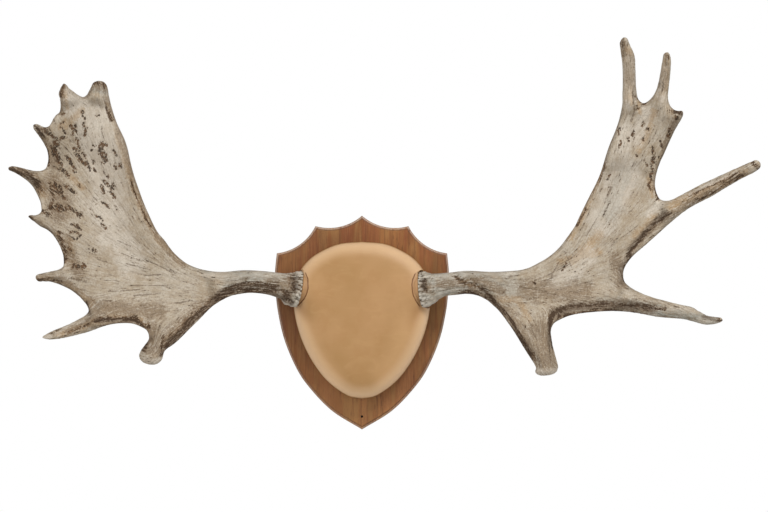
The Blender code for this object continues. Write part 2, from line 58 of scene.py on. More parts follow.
# Board
BOARD_THICKNESS = 0.022
BOARD_TOP = 0.178
BOARD_TIP = 0.178
SHOULDER = (0.0774, 0.1606)
CORNER = (0.1418, 0.1153)
SCALLOP_SAG = 0.010
SIDE_CURVE = [(0.1448, 0.083), (0.1436, 0.049), (0.1398, 0.0175), (0.1290, -0.029), (0.1075, -0.079),
              (0.0908, -0.104), (0.0510, -0.146)]
EDGE_ROUND = 0.0034
STEP_WIDTH = 0.0009
STEP_HEIGHT = 0.0025
STEP_PROFILE = [(0.5, -STEP_HEIGHT), (0.9, 0.0002 - STEP_HEIGHT), (1.1, -0.0008), (1.5, -0.0001), (2.0, 0.0),
                (4.0, 0.0)]
SCREW_HOLE_RADIUS = 0.0018
SCREW_HOLE_Z = -0.1563
SCREW_HOLE_RISE_DEG = 14.0
BACK_BEVEL = 0.0006
ARC_POINTS = 40
# The painted highlight on the moulded edge grows from the first height to the second
EDGE_HIGHLIGHT_FROM_Z = -0.12
EDGE_HIGHLIGHT_ABOVE_Z = 0.04
PALER_BELOW_Z = -0.02
PALEST_BELOW_Z = -0.15
BOARD_SHARP_DEG = 38.0

# Leather form and its collars
DOME_HEIGHT = 0.059
DOME_OUTLINE = [(0.0, 0.1345), (0.037, 0.131), (0.062, 0.1215), (0.087, 0.1055), (0.104, 0.084),
                (0.1125, 0.055), (0.1130, 0.023), (0.1055, -0.013), (0.094, -0.043), (0.079, -0.070),
                (0.061, -0.0935), (0.040, -0.1115), (0.0195, -0.123), (0.0, -0.126)]
DOME_SQUARENESS = 4.6
DOME_STEP = 0.0018
DOME_RINGS = 130
LUMP_REACH = 0.03
LUMP_DEPTH = 0.0006
# The leather's pale rim band, from the glued margin inwards: taut leather with painted highlight on its
# shoulders
RIM_GLUED = 0.002
RIM_TIGHT_AND_LIT_FROM = 0.001
RIM_TIGHT_AND_LIT_UNTIL = 0.027
FOOT_DARKENED = 0.003
DOME_SHARP_DEG = 50.0
MOUND_HEIGHT = 0.007
MOUND_REACH = 0.028
FOLD_DEPTH = 0.0012
FOLD_WIDTH = 0.009
FOLD_BELOW = 0.030
FOLD_ROUTE = [(0.0, 0.0), (0.010, -0.012), (0.020, -0.036)]
FOLD_FADE = 0.045
SEAM_WIDTH = 0.0013
SEAM_RISE = 0.0043
SEAM_BOW = 9.0
BURR_DEPTH = 0.057
PEDICLE_FORWARD_DEG = 12.0
COLLAR_RADIUS = 0.0275
COLLAR_LENGTH = 0.014
COLLAR_BEVEL = 0.0022
COLLAR_SIDES = 96
BURR_POCKET_RADIUS = 0.0325
CONTACT_GAP = 0.0003

# Antler section
ROOT_EXTENSION = 0.045
STRAIGHT_STRETCH = 0.03
TINE_ROUND_UNTIL = 0.022
PALM_FLAT_FROM = 0.056
PALM_HALF_THICKNESS = 0.0065
PALM_EDGE_WIDTH = 0.012
RIB_HEIGHT = 0.0022
RIB_WIDTH = 0.016
WIDTH_BLUR = 0.010
SLIM_UNTIL = 0.018
SLIM_NO_MORE = 0.048

# Fineness of the antler's mesh
OUTLINE_STEP = 0.0020
INNER_RINGS = (0.0004, 0.0012, 0.0024)
FRONT_SPACING = 0.00155
BACK_SPACING = 0.0026
BURR_SPACING = 0.0009
BURR_REACH = 0.034
SITE_SPACING = 0.0050
GROWTH_SPACING = 0.018

# Beads of the burr and the holes between those of its rim: how many, where along the beam, and how large
BURR_RADIUS = 0.030
BURR_STRETCH = (-0.006, 0.045)
BURR_FULL = 0.006
BURR_FADE = 0.007
PEARL_SEED = 5
PEARLS = 170
PEARLS_FROM = 0.004
PEARLS_STRETCH = 0.022
PEARLS_CROWDED = 1.6
PEARL_SIZES = (0.0018, 0.0034)
PEARL_SHRINKING = (1.15, 14.0)
PEARL_DRAWN_OUT = 1.2
PEARL_RISE = 0.6
RIM_PEARLS = 26
RIM_PEARL_PLACES = (0.0010, 0.0022)
RIM_PEARL_SIZES = (0.0022, 0.0033)
RIM_PEARL_SHIFT = 0.25
HOLE_PLACES = (0.0006, 0.0022)
HOLE_SIZES = (0.0016, 0.0026)
HOLE_SHIFT = 0.15
HOLE_STRENGTHS = (0.4, 1.0)
HOLE_DEPTH = 0.0009

# Relief of the antler's surface: the sizes of its grooves, lumps, knots and waves, and their heights
GROOVE_LENGTH = 0.045
GROOVE_WIDTH = 0.0058
GROOVE_TURN = 0.0085
LUMP_SIZE = 0.009
KNOT_SIZE = 0.0042
WAVE_SIZE = 0.035
SLIM_GROOVES = 0.0017
SLIM_RIPPLES = 0.0008
PALM_GROOVES = 0.0007
PALM_WAVES = 0.0022
LUMP_HEIGHT = 0.0008
KNOT_HEIGHT = 0.0003
DIRT_KNOTS = 0.0009
PIT_DEPTH = 0.0006
DIRT_DEPTH = 0.0005
SETTLED_FROM = 0.0035
STEEPEST_SQUARED = 1.5

# Growth lines and marks: where the lines fan out into finer ones, the width of the rim's painted shade, how
# far a stroke fades past its radius, and how long a dot is
FAN_FROM = 0.045
FAN_OCTAVES = 4
LEAST_GROWTH_SLOPE = 1.5
EDGE_SHADE_BAND = 0.007
MARK_SOFTNESS = 0.8
RELIEF_SOFTNESS = 0.9
PATCH_SOFTNESS = 1.2
DOT_LENGTH = 1e-5

# Studio: each light's place, size and power, and the surround's paling from the horizon up and down
FLOOR_Z = -0.9
FLOOR_REACH = 3.0
LIGHTS = {"key": ((1.4, -2.4, 2.8), 1.2, 100.0), "fill": ((-2.4, -2.8, 1.2), 2.4, 38.0)}
SURROUND_HEIGHTS = (0.12, 0.30)
SURROUND_LEVELS = (1.0, 0.36)

# Antler outlines in pixels of the front photograph, x to the right and y down, from one side of the burr
# out along the beam, round the palm and its tines, and back to the burr's other side
LEFT_OUTLINE_PX = {
    "burr": [(294.8, 306.6), (291, 306), (286, 305), (281.5, 300)],
    "beam underside": [(274.5, 297), (265, 294.5), (254, 293.5), (243, 294), (230, 297), (214, 306),
                       (195.5, 324), (176, 343), (165.5, 351.5)],
    "brow stub": [(163, 359.5), (158, 364), (150, 364.5), (143, 361.5), (140, 356), (141.5, 351),
                  (149, 338.5), (147, 331), (140.5, 327)],
    "lower tine": [(131, 324), (110, 325), (87.5, 332.5), (62.5, 338.5), (49.5, 339.5), (43.5, 337.5),
                   (49.5, 333), (71, 323.5), (86, 315), (88.5, 311.5), (87.5, 307)],
    "fifth tine": [(83, 300.5), (77.5, 295), (70, 289.5), (60.5, 285), (51.5, 282), (45, 281.5),
                   (39.5, 281.5), (37, 278), (38, 275), (43, 273.5), (51.5, 271.5), (59.5, 269.5),
                   (63.5, 266.5), (64, 262), (63.5, 256)],
    "fourth tine": [(61.5, 249.5), (58, 242), (53, 234.5), (48, 230), (41.5, 226.5), (35.5, 222),
                    (31, 218.5), (29.5, 216.5), (31.5, 215.2), (36, 215.5), (40, 214), (42, 211),
                    (42, 207.5)],
    "third tine": [(40.5, 201), (37.5, 194), (33, 186), (27.5, 180.5), (20.5, 175.5), (14, 172),
                   (10.5, 170.3), (10, 168), (12.5, 166.5), (16.5, 166.5), (23, 168), (30.5, 170),
                   (36.5, 171), (42.5, 170.3), (46, 168), (47.5, 164)],
    "second tine": [(48.3, 158), (47.3, 150.5), (44, 143), (40, 136.5), (36.5, 131.5), (34.4, 128),
                    (34.8, 125), (38, 124), (41.5, 125.5), (45, 127), (49, 126.5), (52, 123), (54, 119)],
    "first tine": [(57, 115), (60, 112.5), (61.2, 108), (61.2, 103), (60.5, 98), (59.3, 94), (60.5, 90),
                   (62.3, 86), (64.5, 83.3), (67.2, 85), (69.5, 88), (74, 91.5), (79, 95), (83.5, 96.5),
                   (86.5, 94.5)],
    "top stub": [(89, 90), (91, 86), (93, 82), (98, 80), (103, 81), (106, 84), (107.5, 89)],
    "inner edge": [(108.5, 95), (111, 105), (117, 123), (126, 143), (132.5, 171), (139, 190.5),
                   (147, 211), (157, 231.5), (164, 240), (173.5, 252.5), (185, 262.5), (196.5, 268)],
    "beam top": [(209, 271), (222, 272), (245, 270.3), (268, 271.7), (288.5, 274), (296.5, 272.7),
                 (303, 271.8)],
}
RIGHT_OUTLINE_PX = {
    "beam top": [(418.5, 273), (424.5, 272.5), (431, 274), (448, 273), (467, 271), (492, 272),
                 (519, 270.6), (529.5, 268)],
    "inner edge": [(539.5, 263), (549, 257.5), (559, 249), (567.5, 238.5), (575.5, 227), (581, 215.5),
                   (588, 201), (600, 176.5), (610, 146), (619.5, 122), (622.3, 111), (623.5, 103)],
    "first tine": [(623.3, 94), (623.5, 84), (623, 65), (620.7, 49), (620, 43), (621.5, 39.5),
                   (624, 37.3), (627, 38), (630.5, 45.5), (635, 55.5), (636.3, 69.5), (637.3, 87.5),
                   (638.3, 94), (640, 99), (643.3, 102), (646.5, 102)],
    "second tine": [(650.5, 99.5), (653.5, 96.3), (656, 92), (658.5, 85.5), (661, 71.5), (663, 58.7),
                    (663.8, 54.2), (665.7, 52.4), (668.2, 52.4), (669.8, 54.2), (671.2, 60), (671, 71.5),
                    (669.5, 88.5), (669, 96), (669.8, 101.5)],
    "knob": [(672, 106.5), (675.3, 109.4), (679, 110.5), (683, 110.5), (684, 113), (683.5, 116),
             (676, 130), (666, 152), (661, 163), (657.5, 175), (656.5, 185)],
    "upper long tine": [(658.2, 193.3), (661.2, 198.8), (666, 200.6), (673.3, 199.4), (682, 195),
                        (702.5, 184), (725.5, 173.3), (749.5, 162.5), (755.7, 160.3), (759.3, 162.4),
                        (760.2, 166), (758, 169.7), (737.5, 181), (713.3, 195.7), (689, 209),
                        (672, 222.5), (648, 244.2), (636, 254.7), (630, 261.5), (626, 268)],
    "lower long tine": [(624.6, 275), (626, 282), (632, 287.7), (642, 293.3), (655, 298.2),
                        (681.5, 304.8), (692.6, 307.3), (701, 312.3), (708, 315.8), (716.4, 317.2),
                        (721.3, 318), (722.8, 320.7), (719, 323), (712, 324.6), (704, 324.6), (687, 320),
                        (660, 317.5), (632, 312.7), (604, 311.8), (572, 315.8), (561, 320)],
    "brow stub": [(554.4, 324.2), (551.6, 331.2), (552, 338.2), (553.7, 348), (557.5, 363),
                  (558.2, 367.7), (555.8, 372.5), (548, 375.4), (538.2, 375), (535.2, 372), (536, 368),
                  (534.7, 364.9)],
    "beam underside": [(527.7, 354.3), (513.3, 330.4), (500, 312), (492.3, 304.5), (485.5, 299.3),
                       (478, 296), (469, 294.5), (460, 295), (446, 296.7)],
    "burr": [(439.5, 299.7), (433, 304), (429, 306.5), (425.3, 307)],
}

# Known depths in front of the wall: where in the photograph, and how far out
LEFT_DEPTHS = [((254, 282), 0.074), ((215, 287), 0.086), ((180, 290), 0.090), ((140, 262), 0.084),
               ((110, 215), 0.084), ((95, 160), 0.092), ((150, 225), 0.096), ((122, 150), 0.108),
               ((104, 105), 0.110), ((98, 83), 0.104), ((66, 88), 0.158), ((37, 127), 0.186),
               ((12, 169), 0.200), ((32, 217), 0.188), ((40, 278), 0.190), ((46, 337), 0.182),
               ((62, 150), 0.124), ((60, 200), 0.122), ((76, 258), 0.120), ((110, 318), 0.118),
               ((152, 358), 0.178), ((160, 328), 0.120)]
RIGHT_DEPTHS = [((465, 283), 0.074), ((505, 286), 0.086), ((556, 284), 0.090), ((590, 240), 0.084),
                ((620, 180), 0.088), ((640, 135), 0.098), ((570, 240), 0.096), ((608, 155), 0.106),
                ((630, 95), 0.118), ((625, 40), 0.172), ((664, 100), 0.126), ((667, 54), 0.176),
                ((682, 112), 0.150), ((650, 215), 0.108), ((700, 194), 0.142), ((758, 165), 0.204),
                ((632, 250), 0.106), ((640, 300), 0.112), ((690, 314), 0.148), ((721, 320), 0.178),
                ((545, 372), 0.190), ((528, 330), 0.122), ((580, 300), 0.094)]

# Ribs of the palm: the front-view route of each, from the beam to a tine
LEFT_RIBS = [[(200, 284), (160, 262), (112, 230), (60, 190), (22, 171)],
             [(200, 284), (150, 250), (105, 195), (66, 145), (40, 127)],
             [(200, 284), (146, 238), (108, 172), (80, 118), (64, 90)],
             [(200, 284), (155, 232), (128, 165), (110, 118), (99, 86)],
             [(200, 284), (160, 272), (110, 255), (70, 235), (36, 218)],
             [(200, 284), (160, 284), (110, 282), (72, 278), (42, 277)],
             [(200, 284), (165, 300), (120, 314), (85, 324), (52, 336)]]
RIGHT_RIBS = [[(510, 286), (570, 256), (600, 205), (622, 140), (626, 50)],
              [(510, 286), (580, 262), (620, 200), (650, 140), (667, 62)],
              [(510, 286), (585, 272), (640, 232), (690, 202), (750, 167)],
              [(510, 286), (570, 296), (630, 302), (680, 312), (715, 320)]]

# Growth lines: a share across the antler, from its upper edge to its underside, and the line's route
LEFT_GROWTH = [
    (0.00, [(303, 272), (256, 270), (210, 271), (173, 252), (147, 211), (132, 171), (117, 123), (108, 95)]),
    (0.12, [(303, 277), (256, 273), (214, 276), (176, 262), (140, 225), (118, 165), (104, 110), (98, 84)]),
    (0.30, [(303, 281), (256, 277), (214, 280), (165, 254), (120, 200), (88, 140), (66, 90)]),
    (0.42, [(302, 285), (256, 280), (214, 284), (160, 258), (108, 205), (66, 150), (40, 128)]),
    (0.54, [(301, 290), (256, 283), (214, 287), (158, 264), (100, 228), (58, 190), (20, 171)]),
    (0.66, [(299, 294), (256, 286), (214, 291), (156, 272), (104, 255), (66, 235), (36, 218)]),
    (0.78, [(298, 298), (256, 289), (214, 295), (156, 284), (108, 280), (70, 278), (42, 278)]),
    (0.90, [(296, 302), (254, 291.5), (214, 300), (160, 303), (118, 312), (84, 324), (52, 336)]),
    (0.96, [(185, 322), (165, 340), (152, 358)]),
    (0.21, [(69, 93), (80, 101), (88, 99), (94, 88)]),
    (0.48, [(42, 134), (48, 148), (49, 160), (44, 169), (26, 168)]),
    (0.60, [(20, 173), (34, 184), (41, 197), (42, 208), (36, 216)]),
    (0.72, [(38, 222), (53, 234), (63, 250), (64, 264), (57, 271), (44, 274)]),
    (0.84, [(44, 281), (63, 283.5), (79, 294), (87.5, 306), (86, 313), (78, 319.5), (61, 329.5)]),
    (0.93, [(62, 335), (90, 325), (118, 321), (136, 322), (150, 333), (154, 345)]),
    (1.00, [(294, 306), (254, 293.5), (214, 306), (190, 328), (166, 351)])]
RIGHT_GROWTH = [
    (0.00, [(424, 272), (467, 271), (519, 271), (559, 249), (588, 201), (610, 146), (622, 111)]),
    (0.15, [(421, 278), (467, 275), (515, 276), (566, 254), (598, 200), (617, 140), (627, 90), (625, 45)]),
    (0.30, [(420, 283), (467, 279), (513, 281), (572, 258), (612, 200), (636, 140), (655, 105), (667, 58)]),
    (0.42, [(467, 281), (513, 285), (578, 262), (625, 210), (655, 160), (678, 115)]),
    (0.58, [(421, 291), (467, 285), (511, 289), (580, 270), (640, 230), (690, 202), (752, 166)]),
    (0.75, [(422, 297), (467, 289), (508, 295), (570, 292), (625, 298), (680, 312), (716, 320)]),
    (0.90, [(423, 302), (463, 292.5), (500, 301), (530, 322), (545, 368)]),
    (0.225, [(634, 65), (637, 95), (643.5, 101.5), (655, 95), (661, 75)]),
    (0.50, [(682, 120), (665, 153), (657, 176), (657.5, 191), (664, 199), (678, 198), (730, 172)]),
    (0.665, [(740, 177), (699, 202.5), (660, 233), (631, 260), (624.5, 275), (629, 284.5), (646, 292),
             (680, 302), (700, 311.5)]),
    (0.83, [(554, 362), (552, 338), (554, 325), (572, 316), (603, 311), (645, 311.5), (680, 316)]),
    (1.00, [(425, 306), (460, 295), (492, 304), (513, 330), (532, 362)])]

# Marks on each antler: strokes of (radius, route) in pixels of the photograph. Pits are dotted dark holes,
# dirt is dark brown, brown and ochre are stains, pale and grey are bleached, and dark is painted shade with
# some dirt under the beams, beside the burrs and in creases
LEFT_MARKS = {
    "pits": [
        (1.7, [(82.7, 111.3), (83.5, 116.5), (85.1, 118)]), (1.6, [(84, 123), (84.3, 126)]),
        (1.7, [(86.3, 127.4), (85.5, 131), (84.3, 136)]), (1.5, [(75, 125), (76, 131)]),
        (1.4, [(63.2, 113.7), (64.4, 114)]), (1.2, [(62, 123), (64.4, 122)]),
        (1.3, [(61.2, 126.8), (66.4, 134)]),
        (1.5, [(70.4, 125), (73.6, 130), (72, 134)]), (2.0, [(59.5, 138.8), (65.6, 137.6)]),
        (2.8, [(46, 129), (55, 139)]), (3.2, [(57.2, 141), (57, 153), (61, 163)]),
        (2.0, [(52.8, 147), (54.4, 156)]),
        (1.6, [(76.8, 138.8), (78.4, 147)]), (2.3, [(74.4, 149), (79.2, 158.7), (84.7, 163.5)]),
        (1.5, [(79.2, 149), (84.7, 156.3), (89.5, 170)]), (2.2, [(67.2, 157), (71, 164), (74.4, 171.5)]),
        (2.3, [(60, 169), (64, 170.7), (68, 176)]), (1.6, [(92.7, 146)]), (1.5, [(91.1, 150)]),
        (3.6, [(102.3, 143.8), (101, 150), (103.5, 156), (104, 160)]), (1.5, [(106, 145)]),
        (1.7, [(93.5, 160.5), (93.5, 163)]), (1.3, [(93.5, 169), (95, 171)]),
        (2.0, [(114, 165), (115.5, 168.5)]),
        (1.5, [(119.8, 164), (120.5, 167)]), (1.8, [(107, 176), (108, 177)]),
        (1.5, [(102.3, 180.3), (108.7, 186.7), (111.9, 188.6)]), (1.5, [(100.7, 185.8), (103.9, 193)]),
        (1.6, [(109.5, 192.2), (113.5, 197)]), (1.4, [(112, 183.5), (112.7, 188)]),
        (1.9, [(66.4, 186.2), (75.2, 193)]), (1.6, [(78, 185), (79, 186)]),
        (1.2, [(96, 115.9), (99.1, 114.9)]),
        (1.6, [(101.2, 202.4), (108.8, 207)]), (1.2, [(90, 209)]), (1.4, [(94.7, 214.8), (97, 216.5)]),
        (1.3, [(99.4, 216.5), (102.9, 220.7)]), (1.4, [(101.2, 224.2), (105.3, 229)]),
        (4.0, [(54.6, 206), (64, 209)]), (3.0, [(45, 211), (50, 215)]), (2.6, [(70, 208), (80.5, 215.4)]),
        (1.6, [(72.2, 224.2), (77, 225.4), (80.5, 229)]),
        (1.3, [(71, 232.5), (75.8, 231.3), (80.5, 234.8)]),
        (1.3, [(80, 236), (75.8, 240.1), (72.2, 237.2)]),
        (2.4, [(93.8, 250.5), (94.6, 251.2)]), (1.4, [(68.7, 247.8), (71, 251.3)]),
        (3.0, [(73.4, 265.5), (82.9, 266.5)]), (2.0, [(60, 186), (64, 198)]),
        (3.0, [(55, 184), (58, 192)]), (1.5, [(113, 150), (116, 156)])],
    "scratches": [
        (1.0, [(68.7, 278.5), (78, 280), (86.4, 282.6)]), (0.9, [(99.4, 300.3), (111.2, 301.5)]),
        (0.8, [(97, 259.6), (106.5, 262)]), (0.7, [(117, 240.7), (130, 246.6)]),
        (1.0, [(144, 276), (160, 275)]),
        (0.7, [(176, 303.3), (189, 301.5)]), (0.7, [(126, 264), (150, 270)]),
        (0.7, [(118, 252), (142, 262)]),
        (0.6, [(130, 286), (168, 286)]), (0.7, [(108, 292), (140, 290)]), (0.6, [(150, 262), (176, 274)]),
        (0.7, [(133, 296), (160, 294)]), (1.0, [(103, 96), (107, 106), (110, 122)])],
    # dark: painted shade, with some dirt, under the beam, beside the burr and in creases
    "dark": [
        (4.5, [(295, 279), (295, 288)]),
        (4.2, [(278, 288), (262, 286.5), (250, 286), (238, 287), (224, 293), (205, 309), (190, 323),
               (172, 341)]),
        (3.2, [(288, 293), (292, 303)]),
        (2.0, [(96, 321), (118, 319.5), (138, 322)]), (4.0, [(196, 316), (183, 329), (172, 341)]),
        (3.8, [(12, 169), (27, 174), (38, 184)]), (2.2, [(39, 127), (43, 136)]),
        (2.6, [(56, 143), (57, 160)]),
        (2.2, [(86, 303), (90, 314)]), (2.6, [(146, 344), (150, 338)]), (3.0, [(262, 293), (286, 298)])],
    "dirt": [
        (5.5, [(197, 313), (184, 327), (172, 339), (166, 347)]),
        (3.3, [(276, 286), (258, 284.5), (240, 285), (227, 290), (212, 300.5), (198, 312.5), (184, 326)]),
        (3.0, [(276, 292), (240, 290), (222, 298), (205, 312)]), (3.5, [(286, 294), (291, 303)]),
        (2.0, [(70, 332), (88, 325)]), (2.6, [(94, 321), (118, 318.5), (136, 320), (148, 327)]),
        (3.2, [(11, 168), (18, 170)]), (4.2, [(20, 171.5), (34, 177), (41, 190)]),
        (2.2, [(38, 280), (50, 280), (62, 283)]), (2.2, [(30, 217), (35, 220)]),
        (2.2, [(35, 125), (40, 130), (44, 138)]),
        (2.8, [(64.5, 85), (61, 96)]), (3.0, [(92, 82), (98, 81), (105, 84)]),
        (2.2, [(46, 146), (49, 164)]),
        (1.8, [(86, 304), (88, 311)]), (2.5, [(144, 350), (150, 339)]), (2.2, [(164, 336), (163, 356)]),
        (6.0, [(294, 279), (295, 288)]), (3.0, [(283, 291), (287, 302)]), (2.0, [(112, 120), (107.5, 108)]),
        (1.6, [(130, 180), (137, 200), (150, 226)]), (3.0, [(60, 233), (64, 250), (64, 262)]),
        (2.0, [(50, 183), (54, 196), (52, 208)])],
    "brown": [
        (7.0, [(12, 169), (30, 175), (44, 190)]), (11.0, [(54, 182), (62, 200), (60, 214)]),
        (6.0, [(42, 134), (50, 150), (56, 165)]), (4.0, [(70, 331), (100, 320)]),
        (6.0, [(90, 322), (125, 321), (148, 329)]), (12.0, [(150, 334), (155, 348)]),
        (11.0, [(170, 342), (190, 322), (215, 302)]), (5.0, [(215, 298), (245, 292), (280, 298)]),
        (4.0, [(31, 217), (45, 228), (58, 236)]), (4.5, [(38, 278), (60, 279), (80, 293)]),
        (13.0, [(294, 286), (270, 288)]), (3.5, [(64, 86), (62, 112)]),
        (7.0, [(66, 240), (72, 262), (80, 275)]),
        (6.0, [(88, 300), (96, 312)]), (4.0, [(108, 100), (121, 140), (136, 190), (156, 234), (182, 264)]),
        (5.0, [(92, 85), (106, 87)]), (9.0, [(105, 308), (160, 312)])],
    "ochre": [
        (4.0, [(108, 104), (116, 130), (124, 160), (140, 205), (158, 240), (184, 264)]),
        (5.5, [(20, 171), (36, 178), (44, 194)]), (4.0, [(70, 240), (72, 262)]),
        (4.0, [(82, 296), (92, 306)]),
        (4.0, [(110, 318), (142, 320)]), (3.0, [(66, 120), (60, 128)]), (4.0, [(60, 334), (100, 322)]),
        (4.5, [(66, 126), (82, 110)]), (3.0, [(52, 280), (76, 290)]), (3.0, [(183, 325), (176, 333)]),
        (4.0, [(70, 176), (82, 188)]), (3.0, [(66, 92), (68, 108)])],
    "pale": [
        (4.0, [(146, 362), (158, 361)]), (17.0, [(103, 118), (112, 190), (112, 235)]),
        (14.0, [(76, 104), (88, 120)]),
        (16.0, [(100, 205), (130, 262)]), (3.0, [(288, 274), (299, 274)]),
        (9.0, [(75, 104), (92, 130)]), (9.0, [(100, 172), (112, 178)]),
        (8.0, [(86, 132), (92, 156), (98, 190)]), (4.0, [(67, 92)]), (3.0, [(60, 334)]),
        (4.0, [(282, 305), (294, 305)]), (5.0, [(280, 275), (205, 275)]), (2.0, [(46, 338), (52, 336)])],
    "grey": [
        (20.0, [(303, 290), (255, 281), (240, 281)]), (5.0, [(94, 88), (104, 90)]),
        (3.0, [(112, 97), (134, 165)]),
        (4.0, [(170, 252), (208, 272)]), (6.0, [(92, 312), (98, 306)])],
}
RIGHT_MARKS = {
    "pits": [
        (2.0, [(638.7, 106.5), (639.3, 107.6)]), (1.7, [(644.3, 123.6), (643.7, 125.4)]),
        (1.6, [(648.4, 128.5), (648, 129.6)]), (1.3, [(635.2, 131), (633.7, 135.5)]),
        (1.6, [(620.3, 127.4), (619.4, 133)]), (1.2, [(644, 138), (644.3, 140)]),
        (1.7, [(652.8, 147.2), (654.3, 153)]), (1.4, [(660, 157), (660.3, 158)]),
        (1.2, [(638, 154.6), (638.5, 156)]),
        (2.0, [(671.1, 129.6), (669.6, 137)]), (2.4, [(676.4, 117.3), (677.4, 118.6)]),
        (1.2, [(622, 141.3), (619.8, 147.2)]), (1.2, [(611, 175), (608.8, 179.4)]),
        (1.6, [(652.8, 179.4), (649.9, 183.8), (652, 189.7)]), (1.2, [(568, 263), (563, 271)]),
        (1.2, [(534.3, 280.7), (536, 284)]), (1.3, [(661, 141), (663, 147)]),
        (1.2, [(646, 160), (648, 166)]),
        (2.2, [(655, 158), (652, 176)]), (1.3, [(629, 137), (630, 141)])],
    "scratches": [
        (1.2, [(645.5, 103), (636, 111.5), (632, 121)]), (1.3, [(613, 187.5), (609, 196)]),
        (0.9, [(610, 186.7), (613.5, 187.2)]), (1.2, [(633.7, 91.5), (635.2, 109)]),
        (0.5, [(565.8, 252), (573, 268)]),
        (0.8, [(518, 276), (508, 277)]), (0.8, [(560, 262), (553, 275)]), (0.5, [(600, 215), (588, 236)]),
        (0.5, [(607, 150), (600, 170)]), (0.4, [(627, 62), (628, 84)]), (0.4, [(664, 78), (663, 92)]),
        (0.5, [(640, 225), (612, 246)]), (0.7, [(520, 287), (548, 292)]), (0.5, [(571, 264), (548, 276)])],
    # dark: painted shade, with some dirt, under the beam, beside the burr and in creases
    "dark": [
        (3.2, [(424, 281), (425, 290)]),
        (5.4, [(556, 313), (575, 307), (600, 305), (634, 306), (652, 309)]),
        (4.0, [(631, 257), (623, 268), (624, 282)]), (3.2, [(664, 214), (648, 230), (630, 250)]),
        (3.0, [(482, 290), (496, 304), (512, 324), (528, 354)]), (3.0, [(551, 320), (550, 345)]),
        (2.6, [(704, 317), (718, 321)]), (2.0, [(676, 112), (682, 114)])],
    "dirt": [
        (2.7, [(456, 277), (466, 284), (481, 288), (495.5, 303), (510, 318), (521, 338), (534, 360)]),
        (2.4, [(486, 300), (503, 322), (526, 358)]),
        (2.5, [(551, 316), (560, 310), (575, 306), (600, 304.5), (634, 306), (665, 309)]),
        (3.0, [(551, 316), (551, 328), (553, 346)]), (2.4, [(632, 256), (625.5, 267), (626, 281)]),
        (2.6, [(667, 214), (650, 229), (628, 256)]), (1.5, [(690, 196), (712, 186), (738, 173)]),
        (1.8, [(694, 203), (742, 176)]), (1.2, [(621, 41), (622, 47)]), (2.4, [(752, 163), (757, 168)]),
        (1.8, [(666, 54), (669, 60)]), (1.8, [(718, 319), (722, 321)]),
        (2.2, [(560, 317), (600, 310), (640, 315)]),
        (3.6, [(424, 281), (425, 290)]), (3.0, [(672, 111), (683, 112)]), (2.0, [(606, 162), (599, 184)]),
        (2.0, [(587, 209), (577, 226)]), (2.0, [(638, 96), (646, 103)]),
        (2.0, [(655, 186), (660, 199)]), (3.0, [(460, 293), (478, 295)])],
    "brown": [
        (5.0, [(440, 284), (480, 281), (502, 292)]), (10.0, [(474, 292), (505, 312), (530, 350)]),
        (13.0, [(542, 330), (547, 360)]), (8.0, [(553, 315), (600, 306), (648, 310)]),
        (4.0, [(650, 226), (690, 204), (745, 175)]), (7.0, [(617, 258), (624, 285)]),
        (5.0, [(660, 220), (635, 247)]), (4.0, [(622, 41), (624, 54)]), (2.0, [(667, 56), (667, 64)]),
        (3.5, [(676, 118), (662, 160), (656, 190)]), (13.0, [(530, 290), (584, 292)]),
        (3.5, [(616, 125), (590, 195), (560, 245)]), (8.0, [(425, 288)])],
    "ochre": [
        (6.5, [(672, 206), (700, 194), (745, 174)]), (4.5, [(655, 216), (636, 236)]),
        (3.0, [(629, 84), (633, 104)]), (2.5, [(640, 95), (641, 112)]),
        (4.0, [(655, 110), (650, 130), (640, 150)]), (4.0, [(600, 172), (588, 206), (572, 238)]),
        (5.0, [(560, 262), (600, 252)]), (6.0, [(627, 50), (630, 70), (629, 96)]),
        (3.0, [(650, 178), (654, 196)]),
        (4.5, [(500, 300), (520, 300), (530, 320)]), (2.6, [(508, 318), (520, 342), (532, 362)]),
        (5.0, [(666, 60), (664, 92)]), (7.0, [(600, 235), (575, 262)])],
    "pale": [
        (4.0, [(538, 373), (556, 371)]), (16.0, [(627, 172), (603, 225)]), (7.0, [(629, 60), (630, 104)]),
        (4.5, [(665, 68), (662, 98)]),
        (8.0, [(648, 112), (640, 140)]), (1.6, [(690, 194), (735, 173)]), (4.0, [(662, 202), (650, 214)]),
        (7.0, [(628, 130), (625, 160)]), (4.0, [(714, 321), (700, 319)]), (10.0, [(590, 255), (560, 282)]),
        (2.6, [(466, 274.5), (515, 274)]), (4.0, [(424, 302), (434, 301), (442, 297)]), (2.0, [(625, 40)])],
    "grey": [
        (20.0, [(418, 290), (480, 284), (512, 290)]), (5.0, [(624, 270), (632, 286)]),
        (7.0, [(575, 308), (712, 320)]),
        (5.0, [(600, 300), (660, 308)]), (3.0, [(622, 111), (600, 176), (560, 248)]),
        (9.0, [(625, 175), (610, 215)])],
}

# Relief on each antler's front: strokes of (radius in pixels, height in metres, route in pixels)
LEFT_RELIEF = [
    (3.4, -0.0018, [(273, 284), (239, 285), (227.6, 290.5), (216, 298.5), (201, 309), (187, 319),
                   (168, 336)]),
    (2.6, -0.0012, [(272, 291), (240, 291), (222, 299), (205, 313), (190, 328)]),
    (4.0, 0.0018, [(97, 314), (115, 314), (129, 314), (143, 319), (152, 328)]),
    (3.6, -0.0014, [(60, 333), (88, 323), (118, 321), (138, 323)]),
    (3.0, 0.0014, [(303, 276), (256, 275), (214, 277), (190, 272)]),
    (3.0, -0.0012, [(200, 273), (172, 258), (150, 228), (136, 195)]),
    (3.0, 0.0012, [(165, 334), (170, 330)]),
    (5.0, -0.0014, [(150, 340), (154, 332)]), (4.5, -0.0020, [(50, 132), (56, 150), (62, 163)]),
    (5.0, -0.0012, [(60, 188), (64, 206)]), (3.5, -0.0022, [(293, 276), (294, 289)])]
